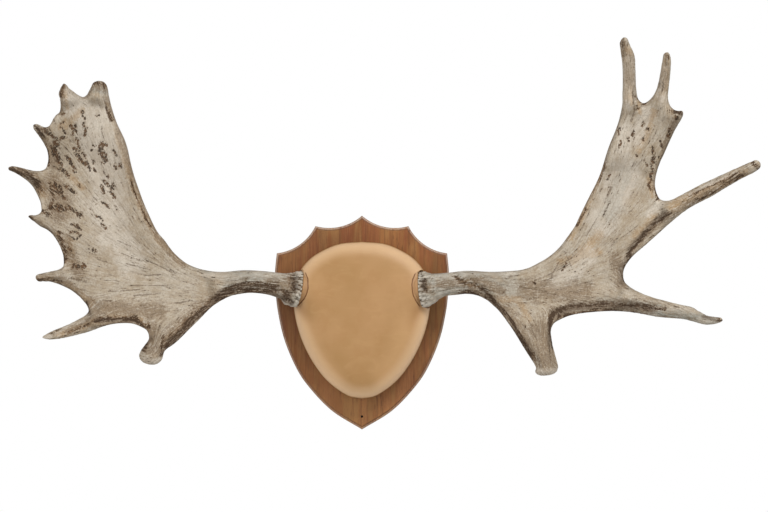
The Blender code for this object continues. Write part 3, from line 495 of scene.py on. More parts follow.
RIGHT_RELIEF = [
    (3.4, -0.0020, [(456, 277), (466, 284), (481, 288), (495.5, 303), (510, 318), (521, 338), (534, 358)]),
    (2.4, -0.0012, [(488, 303), (503, 322), (526, 358)]),
    (5.0, 0.0018, [(556, 304), (570, 297), (600, 293), (634, 295), (660, 301)]),
    (4.5, -0.0014, [(558, 314), (600, 306), (640, 308), (680, 315)]),
    (3.6, -0.0018, [(680, 204), (650, 228), (628, 256)]),
    (3.0, 0.0014, [(425, 277), (467, 275), (515, 274)]),
    (4.0, 0.0012, [(660, 206), (636, 228), (622, 250)]),
    (2.0, -0.0010, [(645.5, 103), (636, 111), (632, 120)]),
    (3.0, -0.0012, [(615, 130), (598, 178), (575, 226)]), (4.0, 0.0014, [(545, 300), (546, 350)]),
    (3.5, -0.0022, [(424, 277), (424, 289)])]

# Painted shadow on the wood beside the leather form and stumps, and painted light on the leather's lower
# flanks: strokes of (radius, route) in pixels of the photograph
WOOD_PAINTED_SHADOW = [(9.0, [(426, 364), (404, 388)]), (8.0, [(284, 262), (300, 246), (318, 238)]),
             (6.0, [(282, 300), (286, 330)]), (5.0, [(438, 258), (442, 268)])]
LEATHER_PAINTED_LIGHT = [(10.0, [(412, 322), (402, 350), (386, 376)]), (7.0, [(302, 324), (314, 354), (334, 380)])]

SIDES = {
    "left": {
        "side": -1, "reach": 0.476, "burr_px": (298.9, 289.2), "burr": (-0.1050, 0.0563), "up_deg": 13.0,
        "outline": LEFT_OUTLINE_PX, "depths": LEFT_DEPTHS, "ribs": LEFT_RIBS, "growth": LEFT_GROWTH,
        "marks": LEFT_MARKS, "relief": LEFT_RELIEF},
    "right": {
        "side": 1, "reach": 0.557, "burr_px": (421.9, 290.0), "burr": (0.0990, 0.0550), "up_deg": 9.0,
        "outline": RIGHT_OUTLINE_PX, "depths": RIGHT_DEPTHS, "ribs": RIGHT_RIBS, "growth": RIGHT_GROWTH,
        "marks": RIGHT_MARKS, "relief": RIGHT_RELIEF},
}


class Value:
    """A shader value that can stand in a Python sum: each operator adds its Math node."""

    def __init__(self, nodes, socket):
        self.nodes, self.socket = nodes, socket

    def __add__(self, other):
        return self.nodes.math("ADD", self, other)

    def __sub__(self, other):
        return self.nodes.math("SUBTRACT", self, other)

    def __rsub__(self, other):
        return self.nodes.math("SUBTRACT", other, self)

    def __mul__(self, other):
        return self.nodes.math("MULTIPLY", self, other)

    __radd__ = __add__


class Nodes:
    """A tree of shader nodes."""

    def __init__(self, tree):
        self.tree = tree

    def node(self, kind, settings, inputs, output=0):
        """Adds a node: its settings first, then the values or links of its sockets."""
        made = self.tree.nodes.new(kind)
        for name, value in settings.items():
            setattr(made, name, value)
        for name, value in inputs.items():
            socket = made.inputs[name]
            if isinstance(value, Value):
                self.tree.links.new(value.socket, socket)
            elif socket.type == "RGBA":
                socket.default_value = (*value, 1.0)
            else:
                socket.default_value = value
        return Value(self, made.outputs[output])

    def math(self, operation, first, second=0.0):
        """A Math node's result."""
        return self.node("ShaderNodeMath", {"operation": operation}, {0: first, 1: second})


class Finish(Nodes):
    """One material, built from nodes, with constant values for some of its shader's sockets."""

    def __init__(self, name, **constants):
        self.material = bpy.data.materials.new(name)
        self.material.use_nodes = True
        super().__init__(self.material.node_tree)
        self.shader = self.tree.nodes["Principled BSDF"]
        for socket, value in constants.items():
            self.shader.inputs[socket.replace("_", " ")].default_value = value
        self.place = self.node("ShaderNodeTexCoord", {}, {}, "Object")

    def clamped(self, value):
        """The value, kept between 0 and 1."""
        return self.node("ShaderNodeMath", {"operation": "ADD", "use_clamp": True}, {0: value, 1: 0.0})

    def vector(self, operation, first, second, output="Value"):
        """A Vector Math node's result."""
        return self.node("ShaderNodeVectorMath", {"operation": operation}, {0: first, 1: second}, output)

    def step(self, value, low, high):
        """0 below low, 1 above high, and a smooth rise between."""
        return self.node("ShaderNodeMapRange", {"interpolation_type": "SMOOTHSTEP"},
                         {"Value": value, "From Min": low, "From Max": high})

    def layers(self, *names):
        """Values stored on the mesh's points."""
        return [self.node("ShaderNodeAttribute", {"attribute_name": name}, {}, "Fac") for name in names]

    def noise(self, scale, detail=3.0, roughness=0.5, at=None, distortion=0.0):
        """Cloudy noise about 0.5."""
        return self.node("ShaderNodeTexNoise", {}, {
            "Vector": at or self.place, "Scale": scale, "Detail": detail, "Roughness": roughness,
            "Distortion": distortion}, "Fac")

    def stretched(self, scale, detail, roughness, distortion=0.0):
        """Noise with a scale of its own along X, Y and Z."""
        at = self.node("ShaderNodeMapping", {}, {"Vector": self.place, "Scale": scale})
        return self.noise(1.0, detail, roughness, at, distortion)

    def cells(self, scale, at, feature="F1"):
        """The distance to the nearest cell's middle, or to its edge, in a random network of cells."""
        return self.node("ShaderNodeTexVoronoi", {"feature": feature}, {"Vector": at, "Scale": scale},
                         "Distance")

    def beside(self, value, output):
        """Another output of the node that a value comes from."""
        return Value(self, value.socket.node.outputs[output])

    def warped(self, amount, scale):
        """The coordinates, pushed about by this many metres of noise."""
        push = self.beside(self.noise(scale, 2.0), "Color")
        return self.node("ShaderNodeVectorMath", {"operation": "MULTIPLY_ADD"},
                         {0: push, 1: (amount, amount, amount), 2: self.place})

    def blend(self, share, below, above):
        """This share of one colour over another."""
        return self.node("ShaderNodeMix", {"data_type": "RGBA", "clamp_factor": True},
                         {0: share, 6: below, 7: above}, 2)

    def joined(self, x, y, z):
        """A place with these three coordinates."""
        return self.node("ShaderNodeCombineXYZ", {}, {"X": x, "Y": y, "Z": z})

    def coats(self, color, *coats):
        """The colour under further coats, each one a share and a colour."""
        for share, above in coats:
            color = self.blend(share, color, above)
        return color

    def dress(self, color, roughness, height, depth, strength):
        """Links the colour and the roughness, and a height as bump with this depth in metres."""
        bump = self.node("ShaderNodeBump", {}, {"Height": height, "Distance": depth, "Strength": strength},
                         "Normal")
        for value, name in ((color, "Base Color"), (roughness, "Roughness"), (bump, "Normal")):
            self.tree.links.new(value.socket, self.shader.inputs[name])
        return self.material


def antler_finish():
    """Dry antler: growth streaks, brown dirt in the grooves, ochre edges, grey beams and dark pits, with
    painted shade under the beams, along the rim and round the burr's beads.
    """
    horn = Finish("weathered_antler", Specular_IOR_Level=0.13)
    along, across, fan = horn.layers("along", "across", "fan")

    def streaks(count, length, seed):
        """Noise drawn out along the growth lines, with finer octaves where the palm fans out."""
        total = 0.0
        for octave in range(FAN_OCTAVES + 1):
            weight = horn.clamped(1.0 - horn.math("ABSOLUTE", fan - octave))
            at = horn.joined(across * (count * 2.0 ** octave), along * length, seed + octave * 3.7)
            total = horn.noise(1.0, 2.0, 0.6, at, 0.35) * weight + total
        return total

    band = streaks(7.0, 11.0, 90.0)
    fine = streaks(11.0, 30.0, 20.0)
    hair = streaks(22.0, 75.0, 50.0)
    cloud = horn.noise(13.0, 4.0, 0.6)
    patch = horn.noise(55.0, 4.0, 0.65)
    grit = horn.noise(170.0, 3.0, 0.6)
    speck = horn.noise(360.0, 3.0, 0.6)
    rough = (hair - 0.5) * 2.2 + (grit - 0.5) * 1.6 + (speck - 0.5) * 2.2
    grainy = (hair - 0.5) * 3.0 + (fine - 0.5) * 1.5 + (speck - 0.5) * 1.8
    warp = horn.warped(0.003, 150.0)
    holes = horn.cells(240.0, warp)
    chance = horn.beside(holes, "Color")
    net = horn.cells(150.0, warp, "DISTANCE_TO_EDGE")
    slim, edge, pits, scratches, dirt, dark = horn.layers("slim", "edge", "pits", "scratches", "dirt", "dark")
    brown, ochre, pale, grey = horn.layers("brown", "ochre", "pale", "grey")
    burr, bead, hollow = horn.layers("burr", "bead", "hollow")

    cracks = (1.0 - horn.step(net, 0.0, 0.12)) * horn.step(patch, 0.40, 0.56)
    soil = horn.step(dirt * 0.82 + dark * 0.14 + grainy * 1.15, 0.58, 0.96)
    scored = horn.step(scratches + rough * 0.6, 0.4, 0.85)
    deep = horn.step(pits + chance * 0.7, 0.60, 0.85) * horn.step(pits, 0.0, 0.2)
    merged = horn.step(pits * 0.8 + rough * 0.8, 0.52, 0.86)
    broken = horn.clamped((1.0 - horn.step(holes, 0.31, 0.6)) * deep + merged)
    shade = horn.blend(horn.step(chance, 0.35, 0.75), (0.035, 0.02, 0.012), (0.11, 0.056, 0.026))
    # gap: painted shade between the burr's beads; crest: their pale tops, partly painted highlight
    gap = 1.0 - horn.step(bead, 0.1, 0.6)
    crest = horn.step(bead + (speck - 0.5) * 2.0, 0.5, 1.0)

    color = horn.coats(
        horn.blend(horn.step(cloud, 0.35, 0.65), (0.375, 0.305, 0.22), (0.43, 0.362, 0.275)),
        # Bleached and grey areas
        (horn.step(pale + (cloud - 0.5) * 1.2, 0.1, 0.9) * 0.85, (0.535, 0.475, 0.40)),
        (horn.step(grey + (patch - 0.5) * 1.5, 0.2, 1.0) * (slim * 0.42 + 0.45), (0.2, 0.204, 0.178)),
        # Broad bands along the growth lines, and patches
        (horn.step(band, 0.48, 0.62) * (slim * 0.28 + 0.17), (0.25, 0.17, 0.098)),
        (horn.step(1.0 - band, 0.50, 0.64) * (slim * 0.3 + 0.16), (0.53, 0.485, 0.415)),
        (horn.step(patch, 0.42, 0.62) * 0.30, (0.50, 0.455, 0.385)),
        (horn.step(1.0 - patch, 0.48, 0.64) * 0.34, (0.27, 0.205, 0.135)),
        # Ochre and brown stains
        (horn.step(ochre + (patch - 0.5) * 1.6 + rough * 0.5, 0.3, 1.1) * 0.54, (0.36, 0.225, 0.103)),
        (horn.step(brown + (patch - 0.5) * 1.2 + rough * 0.5, 0.15, 0.95) * 0.74, (0.205, 0.143, 0.086)),
        # Fine dark and pale streaks and specks
        (horn.step(fine, 0.5, 0.66) * (slim * 0.18 + brown * 0.25 + 0.2), (0.16, 0.115, 0.075)),
        (horn.step(hair, 0.52, 0.66) * (slim * 0.24 + 0.34), (0.165, 0.12, 0.08)),
        (horn.step(1.0 - hair, 0.53, 0.68) * (slim * 0.14 + 0.34), (0.58, 0.53, 0.45)),
        (horn.step(speck, 0.54, 0.68) * (slim * 0.06 + 0.22), (0.15, 0.11, 0.072)),
        (horn.step(1.0 - speck, 0.54, 0.68) * (slim * 0.05 + 0.22), (0.60, 0.55, 0.47)),
        (horn.step(pale + rough * 0.4 + (cloud - 0.5) * 1.2, 0.4, 1.2) * 0.36, (0.55, 0.48, 0.385)),
        # Cracks, painted shade along the rim, dirt, painted shade with some dirt, and scratches
        (cracks * (dirt * 0.35 + brown * 0.25 + 0.22), (0.13, 0.09, 0.06)),
        # Painted shade along the outline, where the antler's sides turn away
        (horn.step(edge + rough * 0.4, 0.35, 1.1) * 0.45, (0.15, 0.11, 0.075)),
        (horn.step(dirt * 0.8 + rough * 0.7, 0.22, 0.75) * 0.66, (0.175, 0.103, 0.052)),
        # Painted shade, with some dirt, under the beams, beside the burrs and in creases
        (horn.step(dark + grainy * 0.45, 0.0, 1.05) * 0.74, (0.12, 0.087, 0.06)),
        (soil * 0.88, (0.05, 0.029, 0.016)),
        (scored * 0.55, (0.115, 0.076, 0.046)),
        # Pits, with a stain round them
        (pits * 0.27, (0.37, 0.26, 0.15)),
        (broken * 0.9, shade),
        # The burr: painted shade between its beads, pale tops that are partly their own tone and partly
        # painted highlight, and painted shade in the holes of its rim
        (burr * gap * horn.step(rough, -0.5, 0.4) * 0.7, (0.06, 0.046, 0.033)),
        (burr * crest * (1.0 - dark * 0.6) * 0.62, (0.54, 0.50, 0.43)),
        (horn.step(hollow, 0.15, 0.6) * 0.85, (0.03, 0.02, 0.013)))
    height = hair * -0.6 + fine * -1.0 + grit * 0.45 + broken * -0.8 + soil * -0.4 + scored * -0.4
    return horn.dress(color, horn.step(cloud, 0.2, 0.9) * 0.15 + 0.66, height, 0.0012, 0.9)


def leather_finish():
    """Smooth vegetable-tanned leather: even tan, with faint pores, paler where it is pulled taut round the
    rim, with painted highlight on the rim and lower flanks and painted shade in the folds below the stumps.
    """
    hide = Finish("tan_leather", Specular_IOR_Level=0.32)
    cloud = hide.noise(9.0, 3.0, 0.5)
    mottle = hide.noise(42.0, 4.0, 0.55)
    scuffs = hide.stretched((26.0, 26.0, 55.0), 3.0, 0.55, 1.2)
    pores = hide.cells(900.0, hide.place, "DISTANCE_TO_EDGE")
    tight_and_lit, darker_at_foot, drawn, painted_light = hide.layers("tight_and_lit", "darker_at_foot", "drawn", "painted_light")
    waver = (hide.noise(60.0, 2.0) - 0.5) * 0.004
    seam = ring = 0.0
    for antler in SIDES.values():
        axis = pedicle_axis(antler)
        seat = tuple(burr_centre(antler) - axis * COLLAR_LENGTH)
        rel = hide.vector("SUBTRACT", hide.place, seat, "Vector")
        beyond = hide.vector("DOT_PRODUCT", rel, tuple(axis)) - SEAM_RISE
        upright = hide.vector("DOT_PRODUCT", rel, tuple(np.cross(np.cross(axis, UP), axis)))
        bowed = beyond - upright * upright * SEAM_BOW + waver
        level = 1.0 - hide.step(hide.math("ABSOLUTE", upright), COLLAR_RADIUS - 0.002, COLLAR_RADIUS + 0.002)
        seam = (1.0 - hide.step(hide.math("ABSOLUTE", bowed), SEAM_WIDTH * 0.3, SEAM_WIDTH)) * level + seam
        ring = hide.step(bowed, 0.0, 0.001) * level + ring
    color = hide.coats(
        hide.blend(hide.step(cloud, 0.3, 0.7), (0.355, 0.195, 0.071), (0.42, 0.236, 0.1)),
        (hide.step(mottle, 0.45, 0.65) * 0.3, (0.35, 0.18, 0.063)),
        (hide.step(scuffs, 0.5, 0.7) * 0.22, (0.46, 0.275, 0.115)),
        # Painted light on the lower flanks
        (painted_light * 0.4, (0.56, 0.335, 0.16)),
        # Pale rim band: leather pulled taut, and painted highlight on its rounded shoulders
        (tight_and_lit * 0.8, (0.73, 0.495, 0.295)),
        # Painted shade in the soft folds below each stump
        (drawn * 0.6, (0.3, 0.145, 0.047)),
        # Darker at the foot, where the leather meets the part behind it
        (darker_at_foot * 0.85, (0.115, 0.055, 0.024)),
        (ring * 0.35, (0.28, 0.145, 0.07)),
        (seam * 0.95, (0.13, 0.046, 0.01)))
    height = hide.step(pores, 0.0, 0.35) * 0.4 + mottle * 0.3 + hide.noise(260.0, 2.0) * 0.25
    return hide.dress(color, 0.55 - tight_and_lit * 0.08, height, 0.0003, 0.5)


def wood_finish():
    """Reddish brown wood with upright grain under satin varnish, with a painted highlight along the moulded
    edge, painted shade in its step and in the screw hole, and painted shadow beside the leather form.
    """
    wood = Finish("varnished_wood", Specular_IOR_Level=0.22, Coat_Weight=0.03, Coat_Roughness=0.3)
    wide = wood.stretched((17.0, 17.0, 6.5), 3.0, 0.5, 0.8)
    red = wood.stretched((60.0, 60.0, 7.0), 2.0, 0.5, 0.8)
    grain = wood.stretched((240.0, 240.0, 11.0), 4.0, 0.65, 0.6)
    fibre = wood.stretched((900.0, 900.0, 28.0), 2.0, 0.6)
    fleck = wood.stretched((420.0, 420.0, 60.0), 2.0, 0.6)
    edge, groove, low, painted_shadow = wood.layers("edge", "groove", "low", "painted_shadow")
    mouth, way = screw_hole()
    from_mouth = wood.vector("SUBTRACT", wood.place, tuple(mouth), "Vector")
    from_axis = wood.vector("CROSS_PRODUCT", from_mouth, tuple(way), "Vector")
    off_axis = wood.vector("LENGTH", from_axis, (0, 0, 0))
    # Painted shade inside the screw hole
    bore = 1.0 - wood.step(off_axis, SCREW_HOLE_RADIUS, SCREW_HOLE_RADIUS * 1.25)
    color = wood.coats(
        wood.blend(wood.step(wide, 0.35, 0.65), (0.195, 0.070, 0.021), (0.30, 0.128, 0.04)),
        (wood.step(red, 0.48, 0.62) * 0.52, (0.215, 0.062, 0.025)),
        (wood.step(1.0 - red, 0.51, 0.64) * 0.45, (0.30, 0.165, 0.058)),
        (low * (wood.step(wide + red, 0.8, 1.2) * 0.3 + 0.15), (0.40, 0.2, 0.07)),
        # Painted shadow beside the leather form and the stumps
        (painted_shadow * 0.45, (0.11, 0.042, 0.015)),
        (wood.step(grain, 0.5, 0.64) * 0.5, (0.125, 0.045, 0.017)),
        (wood.step(fibre, 0.5, 0.68) * 0.33, (0.33, 0.165, 0.06)),
        (wood.step(fleck, 0.62, 0.72) * 0.4, (0.07, 0.03, 0.014)),
        # Painted highlight on the moulding's round-over, brighter higher up
        (edge * wood.step(fibre + fleck, 0.75, 1.0) * 0.75, (0.47, 0.38, 0.31)),
        # Painted shade in the moulding's step
        (groove * 0.45, (0.09, 0.042, 0.02)),
        # Painted shade inside the screw hole
        (bore * 0.95, (0.012, 0.006, 0.004)))
    return wood.dress(color, 0.42 + grain * 0.15, grain * -0.5 + fibre * -0.4, 0.0003, 0.5)


def spline(points, per_segment):
    """A centripetal Catmull-Rom curve through an open run of 2-D points."""
    points = np.asarray(points, float)
    knots = np.vstack([2 * points[0] - points[1], points, 2 * points[-1] - points[-2]])
    a, b, c, d = knots[:-3, None], knots[1:-2, None], knots[2:-1, None], knots[3:, None]
    ta = np.zeros((len(a), 1, 1))
    tb = ta + np.sqrt(np.linalg.norm(b - a, axis=2, keepdims=True))
    tc = tb + np.sqrt(np.linalg.norm(c - b, axis=2, keepdims=True))
    td = tc + np.sqrt(np.linalg.norm(d - c, axis=2, keepdims=True))
    t = tb + (tc - tb) * np.linspace(0, 1, per_segment, endpoint=False)[None, :, None]
    ab = (tb - t) / (tb - ta) * a + (t - ta) / (tb - ta) * b
    bc = (tc - t) / (tc - tb) * b + (t - tb) / (tc - tb) * c
    cd = (td - t) / (td - tc) * c + (t - tc) / (td - tc) * d
    abc = (tc - t) / (tc - ta) * ab + (t - ta) / (tc - ta) * bc
    bcd = (td - t) / (td - tb) * bc + (t - tb) / (td - tb) * cd
    run = (tc - t) / (tc - tb) * abc + (t - tb) / (tc - tb) * bcd
    return np.vstack([run.reshape(-1, 2), points[-1:]])


def lengths(run):
    """How far along an open run each of its points lies."""
    return np.concatenate([[0], np.cumsum(np.hypot(*np.diff(run, axis=0).T))])


def spaced(run, count):
    """The run as this many points, evenly spaced along its length."""
    length = lengths(run)
    at = np.linspace(0, length[-1], count)
    return np.stack([np.interp(at, length, run[:, 0]), np.interp(at, length, run[:, 1])], 1)


def even(run, step):
    """The run at even steps of its length."""
    return spaced(run, int(lengths(run)[-1] / step) + 1)


def in_blocks(points, size, work):
    """What work gives for the points, done for a block of them at a time to keep its tables small."""
    return np.concatenate([work(block) for block in np.array_split(points, max(1, len(points) // size))])


def distance_to_run(points, run):
    """Each point's distance to an open run of straight segments."""
    start, step = run[:-1], np.diff(run, axis=0)
    length2 = (step ** 2).sum(1)

    def nearest(block):
        x, z = block[:, 0, None] - start[:, 0], block[:, 1, None] - start[:, 1]
        share = np.clip((x * step[:, 0] + z * step[:, 1]) / length2, 0.0, 1.0)
        return np.sqrt(((x - share * step[:, 0]) ** 2 + (z - share * step[:, 1]) ** 2).min(1))
    return in_blocks(points, 400, nearest)


def inside(points, loop):
    """Which points lie inside a closed outline, by counting the edges to their right."""
    ax, az = loop[:, 0], loop[:, 1]
    bx, bz = np.roll(ax, -1), np.roll(az, -1)
    rise = np.where(bz == az, TINY, bz - az)

    def counted(block):
        x, z = block[:, 0, None], block[:, 1, None]
        return (((az > z) != (bz > z)) & (x < ax + (z - az) / rise * (bx - ax))).sum(1) % 2 == 1
    return in_blocks(points, 2000, counted)


def hex_points(loop, spacing):
    """A triangular grid of points over the outline's box."""
    low, high = loop.min(0), loop.max(0)
    rows = np.arange(low[1], high[1], spacing * math.sqrt(0.75))
    x, z = np.meshgrid(np.arange(low[0], high[0], spacing), rows)
    x = x + spacing / 2 * (np.arange(len(rows)) % 2)[:, None]
    return np.stack([x.ravel(), z.ravel()], 1)


def ramp(value, low, high):
    """0 below low, 1 above high, and a smooth rise between."""
    value = np.clip((value - low) / (high - low), 0.0, 1.0)
    return value * value * (3 - 2 * value)


def lattice_noise(points, seed):
    """Smooth noise from 0 to 1: random heights at whole-number corners, blended between them."""
    cell = np.floor(points).astype(np.int64)
    part = points - cell
    part = part * part * (3 - 2 * part)
    total = np.zeros(len(points))
    for corner in np.ndindex(2, 2, 2):
        at = cell + corner
        mixed = (at @ HASH_FACTORS + seed * 69069) & 0xffffffff
        mixed = ((mixed ^ (mixed >> 13)) * 1274126177) & 0xffffffff
        height = ((mixed ^ (mixed >> 16)) & 0xffff) / 0xffff
        total += height * np.prod(np.where(corner, part, 1 - part), axis=1)
    return total


def thin_plate(places, values, slack=0.0):
    """The smoothest surface through a few heights, as a function of 2-D points. Slack lets it miss them."""
    def bend(distance2):
        return distance2 * np.log(distance2 + TINY)

    places, values = np.asarray(places), np.asarray(values)
    count = len(places)
    system = np.zeros((count + 3, count + 3))
    system[:count, :count] = bend(((places[:, None] - places) ** 2).sum(2)) + slack * np.eye(count)
    system[:count, count:] = np.hstack([np.ones((count, 1)), places])
    system[count:, :count] = system[:count, count:].T
    weights = np.linalg.solve(system, np.concatenate([values, np.zeros(3)]))

    def bent(block):
        return bend(((block[:, None] - places) ** 2).sum(2)) @ weights[:count]

    def surface(points):
        return in_blocks(points, 2000, bent) + weights[count] + points @ weights[count + 1:]
    return surface


def slope(surface, flat):
    """A surface's slopes along x and z."""
    nudge = 1e-4
    return [(surface(flat + shift) - surface(flat - shift)) / (2 * nudge)
            for shift in (np.array((nudge, 0)), np.array((0, nudge)))]


def pedicle_axis(antler):
    """The direction in which the antler leaves the skull: out, forward and a little up."""
    forward, up = math.radians(PEDICLE_FORWARD_DEG), math.radians(antler["up_deg"])
    return np.array((antler["side"] * math.cos(forward) * math.cos(up), -math.sin(forward),
                     math.cos(forward) * math.sin(up)))


def burr_centre(antler):
    """The middle of the burr's face, where the antler meets its collar."""
    return np.array((antler["burr"][0], -BURR_DEPTH, antler["burr"][1]))


def pedicle_frame(antler):
    """The pedicle's axis, and two directions square to it: level and upwards."""
    axis = pedicle_axis(antler)
    across = np.cross(axis, UP)
    across /= np.linalg.norm(across)
    return axis, across, np.cross(across, axis)


def pixel_size(antler):
    """Metres to a pixel of the photograph, from the antler's reach beyond its burr."""
    outer = max(abs(x - antler["burr_px"][0]) for points in antler["outline"].values() for x, y in points)
    return antler["reach"] / outer


def front_view(antler, points):
    """Places in the front view, in metres, of pixels of the photograph."""
    pixel = pixel_size(antler)
    return np.array(antler["burr"]) + (np.asarray(points, float) - antler["burr_px"]) * (pixel, -pixel)


def antler_edge(antler):
    """The antler's edge as an open run, carried straight on past the burr's face at both ends."""
    drawn = front_view(antler, [point for points in antler["outline"].values() for point in points])
    axis = pedicle_axis(antler)[[0, 2]]
    inboard = -axis / math.hypot(*axis) * ROOT_EXTENSION
    smooth = even(spline(drawn, 12), OUTLINE_STEP)
    root = np.linspace(1, 0, int(ROOT_EXTENSION / OUTLINE_STEP))[:-1, None] * inboard
    return np.vstack([drawn[0] + root, smooth, drawn[-1] + root[::-1]])


def mid_depth(antler):
    """The depth of the antler's middle surface: straight out at the burr, and bent through its depths."""
    axis = pedicle_axis(antler)
    along = axis[[0, 2]] / math.hypot(axis[0], axis[2])
    forward = -axis[1] / math.hypot(axis[0], axis[2])
    steps = (-ROOT_EXTENSION, 0.0, STRAIGHT_STRETCH)
    places = [np.array(antler["burr"]) + along * step for step in steps]
    places += [front_view(antler, place) for place, depth in antler["depths"]]
    values = [BURR_DEPTH + forward * step for step in steps] + [depth for place, depth in antler["depths"]]
    return thin_plate(places, values)


def growth_share(antler):
    """The share across the antler, as a surface through its growth lines."""
    places, values = [], []
    for share, route in antler["growth"]:
        run = even(spline(front_view(antler, route), 8), GROWTH_SPACING)
        places.extend(run)
        values.extend([share] * len(run))
    return thin_plate(places, values, 2e-4)


def local_half_width(points, room, run):
    """The radius of the widest disc in the outline that covers each point, blurred over a short way."""
    sites = hex_points(run, SITE_SPACING)
    sites = sites[inside(sites, run)]
    site_room = distance_to_run(sites, run)

    def covering(block):
        away = ((block[:, None] - sites) ** 2).sum(2)
        return np.where(away <= site_room ** 2, site_room, 0.0).max(1)
    widest = np.maximum(in_blocks(sites, 300, covering), site_room)

    def blurred(block):
        away = (block[:, 0, None] - sites[:, 0]) ** 2 + (block[:, 1, None] - sites[:, 1]) ** 2
        weight = np.exp(-away / (2 * WIDTH_BLUR ** 2))
        return (weight @ widest) / (weight.sum(1) + TINY)
    return np.maximum(in_blocks(points, 300, blurred), room)


def half_thickness(room, width, rib):
    """Round where the antler is narrow, and a flat blade with a rounded edge where it is wide."""
    blade = ramp(width, TINE_ROUND_UNTIL, PALM_FLAT_FROM)
    crown = (1 - blade) * width + blade * (PALM_HALF_THICKNESS + RIB_HEIGHT * rib)
    edge = (1 - blade) * width + blade * PALM_EDGE_WIDTH
    return crown * np.sqrt(1 - (1 - np.clip(room / edge, 0.0, 1.0)) ** 2)


def brushed(antler, flat, strokes, softness):
    """How much of each point a set of brush strokes covers: full on a stroke, fading past its radius.

    A stroke is (radius, route), or (radius, height, route), which adds its height instead of covering.
    """
    cover = np.zeros(len(flat))
    for radius, *height, route in strokes:
        run = front_view(antler, route)
        if len(run) == 1:
            run = np.vstack([run, run + DOT_LENGTH])
        reach = radius * pixel_size(antler) * (1 + softness)
        near = np.where(np.all((flat > run.min(0) - reach) & (flat < run.max(0) + reach), axis=1))[0]
        if len(near):
            share = 1 - ramp(distance_to_run(flat[near], run), 0, reach)
            cover[near] = cover[near] + height[0] * share if height else np.maximum(cover[near], share)
    return cover


def antler_sheet(antler, run, spacing):
    """The points and triangles that fill the outline, with the outline's own points first."""
    count = len(run)
    step = np.roll(run, -1, 0) - np.roll(run, 1, 0)
    normal = np.stack([-step[:, 1], step[:, 0]], 1) / np.hypot(step[:, 0], step[:, 1])[:, None]
    middle = count // 2
    if not inside(run[middle:middle + 1] + normal[middle] * 1e-4, run)[0]:
        normal = -normal
    inner = []
    for ring in INNER_RINGS:
        moved = run + normal * ring
        inner.append(moved[inside(moved, run) & (distance_to_run(moved, run) > 0.9 * ring)])
    burr = np.array(antler["burr"])
    close, coarse = hex_points(run, BURR_SPACING), hex_points(run, spacing)
    close = close[np.hypot(*(close - burr).T) < BURR_REACH]
    coarse = coarse[np.hypot(*(coarse - burr).T) >= BURR_REACH + 0.5 * BURR_SPACING]
    field = np.vstack([close, coarse])
    field = field[inside(field, run)]
    field = field[distance_to_run(field, run) > INNER_RINGS[-1] + 0.5 * BURR_SPACING]
    points = np.vstack([run, *inner, field])
    ends = np.arange(count)
    edges = np.stack([ends, (ends + 1) % count], 1)
    corners, _, faces, _, _, _ = delaunay_2d_cdt(points.tolist(), edges.tolist(), [], 1, 1e-7)
    return np.array(corners), np.array(faces)


def new_mesh(name, points, faces):
    """A mesh with these points and faces."""
    made = bpy.data.meshes.new(name)
    made.from_pydata(np.asarray(points).tolist(), [], [list(face) for face in faces])
    return made


def places_of(mesh):
    """Where the mesh's points are."""
    found = np.empty(len(mesh.vertices) * 3, np.float32)
    mesh.vertices.foreach_get("co", found)
    return found.reshape(-1, 3).astype(float)


def store(mesh, name, values):
    """Keeps one value for each point of the mesh, for its material to read."""
    layer = mesh.attributes.new(name, "FLOAT", "POINT")
    layer.data.foreach_set("value", np.asarray(values, np.float32))


def placed(name, data):
    """A new object in the scene."""
    made = bpy.data.objects.new(name, data)
    bpy.context.scene.collection.objects.link(made)
    return made


def finished(mesh, material, node):
    """Adds the mesh as a piece, and says what it rides on, what it replaces and what its finish is."""
    mesh.materials.clear()
    mesh.materials.append(material)
    mesh.shade_smooth()
    piece = placed(node + "_surface", mesh)
    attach(piece, "root")
    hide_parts(node)


